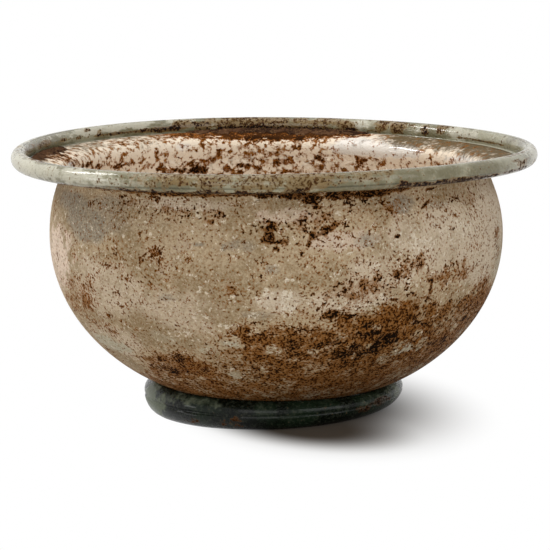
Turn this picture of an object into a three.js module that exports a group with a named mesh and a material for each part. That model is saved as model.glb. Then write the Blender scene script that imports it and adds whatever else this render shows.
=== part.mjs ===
// Free-blown glass bowl with a rolled hollow rim and an applied foot ring, as dug up:
// the glass is hand made, so the bowl leans on its foot, and crusts of soil still cling to it.
// Millimetres, +Z up, standing on z = 0 and centred on its outer box. The front is -Y, and
// angles round the bowl are in degrees from +X, counterclockwise seen from above.
import * as THREE from 'three';

const { clamp, degToRad, lerp, radToDeg, smoothstep } = THREE.MathUtils;

// Bowl, before it leans
const BELLY_DIAMETER = 180.3;
const BELLY_HEIGHT = 69.9;
const RIM_TOP = 105.2;
const BASE_RADIUS = 31.5;
const BASE_LIFT = 7.4;
const BASE_KICK = 2.2;
const KICK_FLAT = 10.5;
const KICK_TURN = 12.6;
const BASE_TURN = 19.9;
const BELLY_TURN = 39.1;
const SHOULDER_TURN = 15.5;
const SHOULDER_LIMIT = 0.7;
const NECK_INSET = 3.8;
const NECK_DROP = 4.6;
const NECK_TURN = 3;
const FLARE_TURN = 4.2;
const FLARE_DIP = 1;

// Thickness of the glass
const BASE_THICKNESS = 3.2;
const WALL_THICKNESS = 2.2;
const FLANGE_THICKNESS = 1.5;

// Rolled rim: the sheet turned out, up and over, whose edge leaves a crease on the inner top
const FLANGE_WIDTH = 11.1;
const BEAD_WIDTH = 6.4;
const BEAD_HEIGHT = 7;
const BEAD_SHEET = 1.35;
const BEAD_TAIL = 0.8;
const CREASE_ANGLE = 110;
const CREASE_WIDTH = 0.4;

// Foot ring: a round coil of thicker glass laid on the underside, flat only where it stands
const FOOT_DIAMETER = 104;
const FOOT_WIDTH = 11.2;
const FOOT_LAND = 2.4;
const FOOT_CORNER = 6;
const FOOT_SHIFT = -1.3;
const FOOT_SEAT_INSET = 3.6;
const FOLD_DEPTH = 0.8;
const FOLD_FROM = 176;
const FOLD_TO = 262;
const FOLD_RISE = 14;
const FOLD_FADE = 30;

// Scar of the iron rod that held the base
const SCAR_DIAMETER = 19;
const SCAR_THICKNESS = 1.3;
const SCAR_RAGGED = 0.06;

// Hand work: the lean of the bowl on its foot, and the waves of its rim
const LEAN = 2.17;
const LEAN_TOWARDS = 7;
const RIM_SHIFT = -1.3;
const RIM_OVAL = 0.96;
const OVAL_TOWARDS = 83.5;
const RIM_LOBE = 0.79;
const LOBE_TOWARDS = -4;
const RIM_DROOP = 0.48;
const DROOP_TOWARDS = 24;

// Seats and soil crusts
const SEAT_GAP = 0.3;
const CRUST_EDGE = 0.2;
const CRUST_RAGGED = 0.16;
const CRUST_STEPS = 26;
const CRUST_ACROSS = 6;
const GUTTER_REACH = 7.6;
const GUTTER_SLOPE = 0.6;
const SOIL_ON_BEAD = 8;
const GUTTER_BACK = { from: 64, to: 112, fill: 1.7, seed: 1 };
const GUTTER_LEFT = { from: 154, to: 184, fill: 1.2, seed: 5 };
const UNDER_RIM = { isInside: false, from: 262, to: 306, low: 89, high: 96.5, thickness: 1.1, seed: 2 };
const INNER_CRUST = { isInside: true, from: 52, to: 128, low: 72, high: 90, thickness: 0.9, seed: 3 };
const BELLY_CRUST = { isInside: false, from: 277, to: 318, low: 29, high: 54, thickness: 0.6, seed: 4 };

// Facets
const FACETS = 60;
const SCAR_FACETS = 20;

// Sizes that follow
const bellyRadius = BELLY_DIAMETER / 2;
const neckRadius = bellyRadius - NECK_INSET;
const flangeEnd = neckRadius + FLANGE_WIDTH;
const tailEnd = flangeEnd + SEAT_GAP;
const beadA = BEAD_WIDTH / 2;
const beadB = BEAD_HEIGHT / 2;
const beadRadius = tailEnd + BEAD_TAIL + beadA;
const beadHeight = RIM_TOP - beadB;
const beadBottom = RIM_TOP - BEAD_HEIGHT;
const neckHeight = beadBottom - NECK_DROP;
const footRadius = FOOT_DIAMETER / 2;

const point = (r, z) => new THREE.Vector2(r, z);
const wave = (turn, lobes, towards) => Math.cos(lobes * (turn - degToRad(towards)));

// The outside of the glass, from the centre of the base to the end of the flange, as four curves
function outsideCurves() {
  const crown = point(0, BASE_LIFT + BASE_KICK);
  const base = point(BASE_RADIUS, BASE_LIFT);
  const belly = point(bellyRadius, BELLY_HEIGHT);
  const neck = point(neckRadius, neckHeight);
  const end = point(flangeEnd, beadBottom);
  const shoulder = Math.min(SHOULDER_TURN, SHOULDER_LIMIT * (neckHeight - BELLY_HEIGHT));
  const away = ({ x, y }, right, up) => point(x + right, y + up);
  return [
    [crown, away(crown, KICK_FLAT, 0), away(base, -KICK_TURN, 0), base, 4],
    [base, away(base, BASE_TURN, 0), away(belly, 0, -BELLY_TURN), belly, 10],
    [belly, away(belly, 0, shoulder), away(neck, 0, -NECK_TURN), neck, 4],
    [neck, away(neck, 0, NECK_TURN), point(neckRadius + FLARE_TURN, beadBottom - FLARE_DIP), end, 4],
  ];
}

// The glass is heavy at the base and thin at the flange
function thicknessAt(z) {
  const wall = lerp(BASE_THICKNESS, WALL_THICKNESS, smoothstep(z, BASE_LIFT, BELLY_HEIGHT / 2));
  return lerp(wall, FLANGE_THICKNESS, smoothstep(z, BELLY_HEIGHT, neckHeight));
}

// Places along the outside, each with its outward normal and the thickness of the glass
function glassProfile() {
  const profile = [];
  for (const [start, turnOut, turnIn, end, steps] of outsideCurves()) {
    const curve = new THREE.CubicBezierCurve(start, turnOut, turnIn, end);
    for (let i = profile.length ? 1 : 0; i <= steps; i++) {
      const at = curve.getPoint(i / steps);
      const along = curve.getTangent(i / steps);
      profile.push({ at, normal: point(along.y, -along.x), thickness: thicknessAt(at.y) });
    }
  }
  return profile;
}

const glass = glassProfile();
const outside = glass.map(({ at }) => at);
const inside = glass.map(({ at, normal, thickness }) => at.clone().addScaledVector(normal, -thickness));
const baseEdge = outside.findIndex(({ x }) => x >= BASE_RADIUS);
const neckEdge = outside.findIndex(({ y }) => y >= neckHeight);

// The two neighbours of a value in a rising list, and how far it lies between them
function between(list, key, value) {
  let i = 0;
  while (i < list.length - 2 && key(list[i + 1]) < value) i++;
  const share = (value - key(list[i])) / (key(list[i + 1]) - key(list[i]));
  return [list[i], list[i + 1], clamp(share, 0, 1)];
}

function heightAt(outline, radius) {
  const [low, high, share] = between(outline, ({ x }) => x, radius);
  return lerp(low.y, high.y, share);
}

const undersideAt = (radius) => heightAt(outside, radius);
const flangeTopAt = (radius) => heightAt(inside.slice(neckEdge), radius);

// A place off the wall's skin at a height: outside it, or inside the bowl
function offSkin(isInside, z, distance) {
  const [low, high, share] = between(glass.slice(baseEdge), ({ at }) => at.y, z);
  const normal = low.normal.clone().lerp(high.normal, share).normalize();
  const thickness = lerp(low.thickness, high.thickness, share);
  const away = isInside ? -thickness - distance : distance;
  return low.at.clone().lerp(high.at, share).addScaledVector(normal, away);
}

// The unevenness of hand work moves all pieces alike, so that what touches stays together
const up = new THREE.Vector3(0, 0, 1);
const leanAxis = new THREE.Vector3(0, 1, 0).applyAxisAngle(up, degToRad(LEAN_TOWARDS));
const leanFrom = undersideAt(footRadius);

function freehand(place) {
  const turn = Math.atan2(place.y, place.x);
  const radius = Math.hypot(place.x, place.y);
  const grip = smoothstep(place.z, BELLY_HEIGHT, beadBottom);
  const swell = RIM_OVAL * wave(turn, 2, OVAL_TOWARDS) + RIM_LOBE * wave(turn, 3, LOBE_TOWARDS);
  const grow = radius > 0 ? 1 + grip * swell / radius : 1;
  const droop = grip * RIM_DROOP * wave(turn, 2, DROOP_TOWARDS);
  const lean = degToRad(LEAN) * smoothstep(place.z, 0, leanFrom);
  place.set(place.x * grow + grip * RIM_SHIFT, place.y * grow, place.z - droop);
  return place.applyAxisAngle(leanAxis, lean);
}

// Gives every corner of a geometry a new place
function reshape(geometry, move) {
  const position = geometry.attributes.position;
  const place = new THREE.Vector3();
  for (let i = 0; i < position.count; i++) {
    move(place.fromBufferAttribute(position, i), i);
    position.setXYZ(i, place.x, place.y, place.z);
  }
  return geometry;
}

// Turns a closed outline of radius and height about +Z
function turned(outline, facets = FACETS) {
  return new THREE.LatheGeometry(outline, facets).rotateX(Math.PI / 2);
}

function piece(name, geometry, color, roughness) {
  reshape(geometry, freehand);
  geometry.computeVertexNormals();
  const mesh = new THREE.Mesh(geometry, new THREE.MeshStandardMaterial({ color, roughness }));
  mesh.name = name;
  return mesh;
}

// Bowl wall with its pushed-up base and its flange, one sheet of glass
function bowlWall() {
  const outline = [...outside, ...inside.toReversed()];
  outline[0].x = 0;
  outline[outline.length - 1].x = 0;
  return turned(outline);
}

// Points round the bead's oval section, or round the hollow in it: 0 faces outwards, 90 up
function beadArc(from, to, steps, sheet = 0) {
  return Array.from({ length: steps + 1 }, (_, i) => {
    const angle = degToRad(lerp(from, to, i / steps));
    return point(
      beadRadius + (beadA - sheet) * Math.cos(angle),
      beadHeight + (beadB - sheet) * Math.sin(angle),
    );
  });
}

// Rolled rim: the tail that carries on from the flange, the sheet round to the crease, and the
// hollow back again. The crease opens the hollow, so the rim is a rolled sheet and not a rod.
function rolledRim() {
  const outerSlit = radToDeg(CREASE_WIDTH / 2 / beadB);
  const innerSlit = radToDeg(CREASE_WIDTH / 2 / (beadB - BEAD_SHEET));
  const heel = 180 + radToDeg(Math.asin(1 - FLANGE_THICKNESS / beadB));
  const outline = [
    point(tailEnd, beadBottom),
    ...beadArc(-90, CREASE_ANGLE - outerSlit, 13),
    ...beadArc(CREASE_ANGLE - innerSlit, CREASE_ANGLE + innerSlit - 360, 11, BEAD_SHEET),
    ...beadArc(CREASE_ANGLE + outerSlit, heel, 4),
    point(tailEnd, beadBottom + FLANGE_THICKNESS),
  ];
  return turned([...outline, outline[0]]);
}

// Foot ring, as insets from its ridge and shares of its height. The underside of the bowl is
// pressed into its top all round, and a fold runs along the left front where the coil laps itself.
const FOLD_POINT = 5;
const footOutline = [
  [FOOT_CORNER, 0], [3.6, 0.05], [1.7, 0.19], [0.45, 0.38], [0.12, 0.47],
  [0.3, 0.53], [0, 0.64], [0.2, 0.75], [1.2, 0.87], [2.4, 0.95],
  [FOOT_SEAT_INSET, 1], [FOOT_WIDTH * 0.45, 1], [FOOT_WIDTH * 0.7, 1], [FOOT_WIDTH - 0.6, 1],
  [FOOT_WIDTH, 0.75], [FOOT_WIDTH - 0.4, 0.35], [FOOT_WIDTH - 1.8, 0.06], [FOOT_CORNER + FOOT_LAND, 0],
];

function footRing() {
  const outline = footOutline.map(([inset, share]) => point(footRadius - inset, share));
  const geometry = turned([...outline, outline[0]]);
  const seatRadius = footRadius - FOOT_SEAT_INSET;
  return reshape(geometry, (place, i) => {
    const turn = Math.atan2(place.y, place.x);
    const degrees = (radToDeg(turn) + 360) % 360;
    const start = smoothstep(degrees, FOLD_FROM, FOLD_FROM + FOLD_RISE);
    const stop = smoothstep(degrees, FOLD_TO - FOLD_FADE, FOLD_TO);
    const fold = i % (outline.length + 1) === FOLD_POINT ? FOLD_DEPTH * start * (1 - stop) : 0;
    const radius = Math.hypot(place.x, place.y) - fold;
    const seat = Math.min(radius, seatRadius);
    const seatFromAxis = Math.hypot(seat * Math.cos(turn) + FOOT_SHIFT, seat * Math.sin(turn));
    const height = undersideAt(seatFromAxis) - SEAT_GAP;
    place.set(radius * Math.cos(turn) + FOOT_SHIFT, radius * Math.sin(turn), place.z * height);
  });
}

// Rough disc of glass left where the iron rod was broken away from the base
function pontilScar() {
  const radius = SCAR_DIAMETER / 2;
  const top = (r) => undersideAt(r) - SEAT_GAP;
  const under = (r, share) => point(r * radius, top(r * radius) - share * SCAR_THICKNESS);
  const stub = [under(0, 0.55), under(0.45, 0.7), under(0.8, 1), under(1, 0.5)];
  const outline = [...stub, under(0.97, 0), under(0.5, 0), under(0, 0)];
  return reshape(turned(outline, SCAR_FACETS), (place) => {
    const turn = Math.atan2(place.y, place.x);
    const rough = 1 + SCAR_RAGGED * (wave(turn, 3, 20) + wave(turn, 5, 70) / 2);
    place.set(place.x * rough, place.y * rough, place.z);
  });
}

// A closed solid through a row of like sections, each a loop of places, with its ends closed
function lofted(sections) {
  const loop = sections[0].length;
  const corners = sections.flat();
  const last = corners.length - loop;
  const faces = [];
  for (let start = 0; start < last; start += loop) {
    for (let k = 0; k < loop; k++) {
      const next = (k + 1) % loop;
      faces.push(start + k, start + loop + k, start + loop + next);
      faces.push(start + k, start + loop + next, start + next);
    }
  }
  for (let k = 1; k < loop - 1; k++) {
    faces.push(0, k, k + 1, last, last + k + 1, last + k);
  }
  return new THREE.BufferGeometry().setFromPoints(corners).setIndex(faces);
}

// An uneven number about 0, between -1 and 1, for a share of the way along a crust
function ragged(share, seed) {
  const slow = 0.5 * Math.sin(17 * share + seed);
  const quick = 0.3 * Math.sin(31 * share + 2.3 * seed) + 0.2 * Math.sin(53 * share + seed);
  return slow + quick;
}

// A share near 1 that wanders along a crust
const uneven = (share, seed) => 1 + CRUST_RAGGED * (ragged(share, seed) - 1);

// Sections of radius and height from one angle to another, full in the middle and closing at the ends
function crustAlong(from, to, sectionAt) {
  const sections = Array.from({ length: CRUST_STEPS + 1 }, (_, i) => {
    const share = i / CRUST_STEPS;
    const full = Math.sqrt(1 - (2 * share - 1) ** 4);
    const turn = degToRad(lerp(from, to, share));
    return sectionAt(share, full).map(({ x, y }) => (
      new THREE.Vector3(x * Math.cos(turn), x * Math.sin(turn), y)
    ));
  });
  return lofted(sections);
}

// A crust on the skin of the wall, ragged at its edges and thickest in the middle
function skinCrust({ isInside, from, to, low, high, thickness, seed }) {
  return crustAlong(from, to, (share, full) => {
    const middle = (low + high) / 2;
    const half = (high - low) / 2;
    const bottom = middle - half * full * uneven(share, seed) - CRUST_EDGE;
    const top = middle + half * full * uneven(share, seed + 4) + CRUST_EDGE;
    const seat = [];
    const crown = [];
    for (let k = 0; k <= CRUST_ACROSS; k++) {
      const rise = full * Math.sin(Math.PI * k / CRUST_ACROSS) * uneven(share + k / 9, seed + 7);
      const z = lerp(bottom, top, k / CRUST_ACROSS);
      seat.push(offSkin(isInside, z, SEAT_GAP));
      crown.push(offSkin(isInside, z, SEAT_GAP + CRUST_EDGE + thickness * rise));
    }
    return isInside ? [...seat, ...crown.toReversed()] : [...crown, ...seat.toReversed()];
  });
}

// Soil packed into the gutter between the flange and the bead
function gutterCrust({ from, to, fill, seed }) {
  const bead = beadArc(SOIL_ON_BEAD - 180, -180, 1);
  return crustAlong(from, to, (share, full) => {
    const reach = GUTTER_REACH * full * uneven(share, seed) + CRUST_EDGE;
    const depth = fill * full * uneven(share, seed + 2) + CRUST_EDGE;
    const ground = (back) => {
      const radius = tailEnd - reach * back;
      return point(radius, flangeTopAt(radius) + SEAT_GAP);
    };
    const floor = [1, 2 / 3, 1 / 3, 0].map(ground);
    const highest = ground(0).y + depth;
    const face = bead.map(({ x, y }) => point(x - SEAT_GAP, Math.min(y, highest)));
    const slope = ground(1 / 2);
    slope.y += depth * GUTTER_SLOPE;
    return [...floor, ...face, slope];
  });
}

const GLASS_FILM = '#a3957f';
const GLASS_PALE = '#a9aea0';
const GLASS_DARK = '#27332c';
const SOIL = '#3f2a17';

const bowl = new THREE.Group();
bowl.add(
  piece('bowl_wall', bowlWall(), GLASS_FILM, 0.55),
  piece('rolled_rim', rolledRim(), GLASS_PALE, 0.18),
  piece('foot_ring', footRing(), GLASS_DARK, 0.15),
  piece('pontil_scar', pontilScar(), GLASS_DARK, 0.4),
  piece('gutter_crust', gutterCrust(GUTTER_BACK), SOIL, 0.95),
  piece('left_gutter_crust', gutterCrust(GUTTER_LEFT), SOIL, 0.95),
  piece('under_rim_crust', skinCrust(UNDER_RIM), SOIL, 0.95),
  piece('inner_crust', skinCrust(INNER_CRUST), SOIL, 0.95),
  piece('belly_crust', skinCrust(BELLY_CRUST), SOIL, 0.95),
);

// Stands the leaning bowl on the table, centred on its outer box
const box = new THREE.Box3().setFromObject(bowl);
const centre = box.getCenter(new THREE.Vector3());
bowl.position.set(-centre.x, -centre.y, -box.min.z);

export default bowl;
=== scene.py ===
import math

import bmesh
import bpy
import numpy as np
from mathutils import Matrix, Vector, noise


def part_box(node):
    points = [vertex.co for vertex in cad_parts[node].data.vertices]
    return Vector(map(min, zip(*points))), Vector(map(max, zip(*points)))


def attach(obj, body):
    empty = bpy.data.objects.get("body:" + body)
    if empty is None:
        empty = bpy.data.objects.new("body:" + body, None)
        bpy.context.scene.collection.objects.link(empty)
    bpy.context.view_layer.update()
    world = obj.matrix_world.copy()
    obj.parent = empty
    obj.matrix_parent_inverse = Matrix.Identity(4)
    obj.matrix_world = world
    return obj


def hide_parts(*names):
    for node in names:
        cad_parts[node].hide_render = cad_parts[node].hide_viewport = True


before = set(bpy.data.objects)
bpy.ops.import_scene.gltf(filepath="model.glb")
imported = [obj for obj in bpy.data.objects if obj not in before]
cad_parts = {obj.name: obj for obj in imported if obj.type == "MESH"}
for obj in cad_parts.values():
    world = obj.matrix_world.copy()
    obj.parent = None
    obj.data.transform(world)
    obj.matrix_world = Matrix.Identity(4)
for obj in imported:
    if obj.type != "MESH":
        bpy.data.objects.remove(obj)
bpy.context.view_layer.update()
MM = 0.001

# Sizes of the glass in millimetres, as in the frame's solids, before the bowl leans
BELLY_RADIUS = 90.15
BELLY_HEIGHT = 69.9
RIM_TOP = 105.2
BASE_RADIUS = 31.5
BASE_LIFT = 7.4
BASE_KICK = 2.2
BASE_TURN = 19.9
BELLY_TURN = 39.1
SHOULDER_TURN = 15.5
NECK_INSET = 3.8
NECK_DROP = 4.6
NECK_TURN = 3.0
FLARE_TURN = 4.2
BASE_THICKNESS = 3.2
WALL_THICKNESS = 2.2
FLANGE_THICKNESS = 1.5
FLANGE_WIDTH = 11.1
BEAD_A = 3.2
BEAD_B = 3.5
BEAD_TAIL = 0.8
SEAT_GAP = 0.3
CREASE_ANGLE = 110
FOOT_RADIUS = 52.0
FOOT_WIDTH = 11.2
FOOT_LAND = 2.4
FOOT_CORNER = 6.0
FOOT_SEAT_INSET = 3.6
FOOT_SHIFT = -1.3
FOLD_DEPTH = 0.8
FOLD_FROM = 176
FOLD_TO = 262

# Hand work
LEAN = 2.17
LEAN_TOWARDS = 7
RIM_SHIFT = -1.3
RIM_OVAL = 0.96
OVAL_TOWARDS = 83.5
RIM_LOBE = 0.79
LOBE_TOWARDS = -4
RIM_DROOP = 0.48
DROOP_TOWARDS = 24

NECK_RADIUS = BELLY_RADIUS - NECK_INSET
FLANGE_END = NECK_RADIUS + FLANGE_WIDTH
TAIL_END = FLANGE_END + SEAT_GAP
BEAD_RADIUS = TAIL_END + BEAD_TAIL + BEAD_A
BEAD_HEIGHT = RIM_TOP - BEAD_B
BEAD_BOTTOM = RIM_TOP - 2 * BEAD_B
NECK_HEIGHT = BEAD_BOTTOM - NECK_DROP

TURNS = 360
EVEN_TURNS = [360 * i / TURNS for i in range(TURNS)]
WALL_TURNS = [185 + 170 * i / 283 for i in range(283)] + [355 + 190 * i / 136 for i in range(136)]
BASE_STEPS = 14


def lerp(a, b, t):
    return a + (b - a) * t


def smoothstep(x, low, high):
    t = min(max((x - low) / (high - low), 0.0), 1.0)
    return t * t * (3 - 2 * t)


def bezier(p, t):
    u = 1 - t
    return tuple(u**3 * a + 3 * u * u * t * b + 3 * u * t * t * c + t**3 * d for a, b, c, d in zip(*p))


def outside_curves():
    crown = BASE_LIFT + BASE_KICK
    base = (BASE_RADIUS, BASE_LIFT)
    belly = (BELLY_RADIUS, BELLY_HEIGHT)
    neck = (NECK_RADIUS, NECK_HEIGHT)
    end = (FLANGE_END, BEAD_BOTTOM)
    return [
        ((0, crown), (BASE_RADIUS / 3, crown), (BASE_RADIUS * 0.6, BASE_LIFT), base, BASE_STEPS),
        (base, (BASE_RADIUS + BASE_TURN, BASE_LIFT), (BELLY_RADIUS, BELLY_HEIGHT - BELLY_TURN), belly, 76),
        (belly, (BELLY_RADIUS, BELLY_HEIGHT + SHOULDER_TURN), (NECK_RADIUS, NECK_HEIGHT - NECK_TURN), neck, 26),
        (neck, (NECK_RADIUS, NECK_HEIGHT + NECK_TURN), (NECK_RADIUS + FLARE_TURN, BEAD_BOTTOM - 1), end, 16),
    ]


def thickness_at(z):
    wall = lerp(BASE_THICKNESS, WALL_THICKNESS, smoothstep(z, BASE_LIFT, BELLY_HEIGHT / 2))
    return lerp(wall, FLANGE_THICKNESS, smoothstep(z, BELLY_HEIGHT, NECK_HEIGHT))


def glass_profile():
    """The outside and the inside of the wall, as lists of radius and height."""
    outside, inside = [], []
    for *curve, steps in outside_curves():
        for i in range(1 if outside else 0, steps + 1):
            t = i / steps
            r, z = bezier(curve, t)
            r0, z0 = bezier(curve, t - 1e-4)
            r1, z1 = bezier(curve, t + 1e-4)
            length = math.hypot(r1 - r0, z1 - z0)
            normal = ((z1 - z0) / length, -(r1 - r0) / length)
            thick = thickness_at(z)
            outside.append((r, z))
            inside.append((max(r - normal[0] * thick, 0), z - normal[1] * thick))
    outside[0] = (0, outside[0][1])
    inside[0] = (0, inside[0][1])
    return outside, inside


OUTSIDE, INSIDE = glass_profile()


def underside_at(radius):
    for (r0, z0), (r1, z1) in zip(OUTSIDE, OUTSIDE[1:]):
        if r1 >= radius:
            return lerp(z0, z1, (radius - r0) / (r1 - r0))
    return OUTSIDE[-1][1]


LEAN_FROM = underside_at(FOOT_RADIUS)
LEAN_AXIS = Vector((-math.sin(math.radians(LEAN_TOWARDS)), math.cos(math.radians(LEAN_TOWARDS)), 0))


def freehand(x, y, z):
    """The unevenness of hand work, as in the frame's solids."""
    turn = math.atan2(y, x)
    radius = math.hypot(x, y)

    def wave(lobes, towards):
        return math.cos(lobes * (turn - math.radians(towards)))

    grip = smoothstep(z, BELLY_HEIGHT, BEAD_BOTTOM)
    swell = RIM_OVAL * wave(2, OVAL_TOWARDS) + RIM_LOBE * wave(3, LOBE_TOWARDS)
    grow = 1 + grip * swell / radius if radius > 0 else 1
    droop = grip * RIM_DROOP * wave(2, DROOP_TOWARDS)
    lean = math.radians(LEAN) * smoothstep(z, 0, LEAN_FROM)
    place = Vector((x * grow + grip * RIM_SHIFT, y * grow, z - droop))
    return Matrix.Rotation(lean, 3, LEAN_AXIS) @ place


def bead_point(angle, inwards=0.0):
    turn = math.radians(angle)
    return (BEAD_RADIUS + (BEAD_A - inwards) * math.cos(turn), BEAD_HEIGHT + (BEAD_B - inwards) * math.sin(turn))


def frame_shift():
    """How far the frame's bowl lies from the one worked out here: the rim's box gives it."""
    low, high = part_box("rolled_rim")
    xs, ys, tops = [], [], []
    for k in range(720):
        turn = math.radians(k / 2)
        for angle in range(-180, 180, 6):
            r, z = bead_point(angle)
            p = freehand(r * math.cos(turn), r * math.sin(turn), z)
            xs.append(p.x)
            ys.append(p.y)
            tops.append(p.z)
    return Vector((
        (low[0] + high[0]) / 2 / MM - (min(xs) + max(xs)) / 2,
        (low[1] + high[1]) / 2 / MM - (min(ys) + max(ys)) / 2,
        high[2] / MM - max(tops),
    ))


SHIFT = frame_shift()
SHIFT.z = 0


def to_frame(x, y, z):
    return (freehand(x, y, z) + SHIFT) * MM


def mesh_object(name, verts, faces, slots=None, materials=()):
    mesh = bpy.data.meshes.new(name)
    mesh.from_pydata(verts, [], faces)
    for material in materials:
        mesh.materials.append(material)
    if slots:
        mesh.polygons.foreach_set("material_index", slots)
    for polygon in mesh.polygons:
        polygon.use_smooth = True
    mesh.validate()
    bm = bmesh.new()
    bm.from_mesh(mesh)
    bmesh.ops.recalc_face_normals(bm, faces=bm.faces)
    bm.to_mesh(mesh)
    bm.free()
    piece = bpy.data.objects.new(name, mesh)
    bpy.context.scene.collection.objects.link(piece)
    return piece


def turned(name, outline, materials, slot_of=None, closed=True, section=None, turns=EVEN_TURNS):
    """A solid turned about the bowl's axis. An outline that starts and ends on the axis gets two poles."""
    poles = not closed
    ring = outline[1:-1] if poles else outline
    count = len(ring)
    verts, faces, slots = [], [], []
    columns = len(turns)
    for degrees in turns:
        turn = math.radians(degrees)
        for k, (r, z) in enumerate(ring):
            if section:
                verts.append(section(turn, k, r, z))
            else:
                verts.append(to_frame(r * math.cos(turn), r * math.sin(turn), z))
    spans = count - 1 if poles else count
    for j in range(columns):
        for k in range(spans):
            a = j * count + k
            b = j * count + (k + 1) % count
            c = (j + 1) % columns * count + (k + 1) % count
            d = (j + 1) % columns * count + k
            faces.append((a, d, c, b))
            slots.append(slot_of(k) if slot_of else 0)
    if poles:
        for pole, k, slot in ((outline[0], 0, 0), (outline[-1], count - 1, slot_of(count) if slot_of else 0)):
            tip = len(verts)
            verts.append(to_frame(0, 0, pole[1]))
            for j in range(columns):
                faces.append((j * count + k, (j + 1) % columns * count + k, tip))
                slots.append(slot)
    return mesh_object(name, verts, faces, slots, materials)


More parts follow.
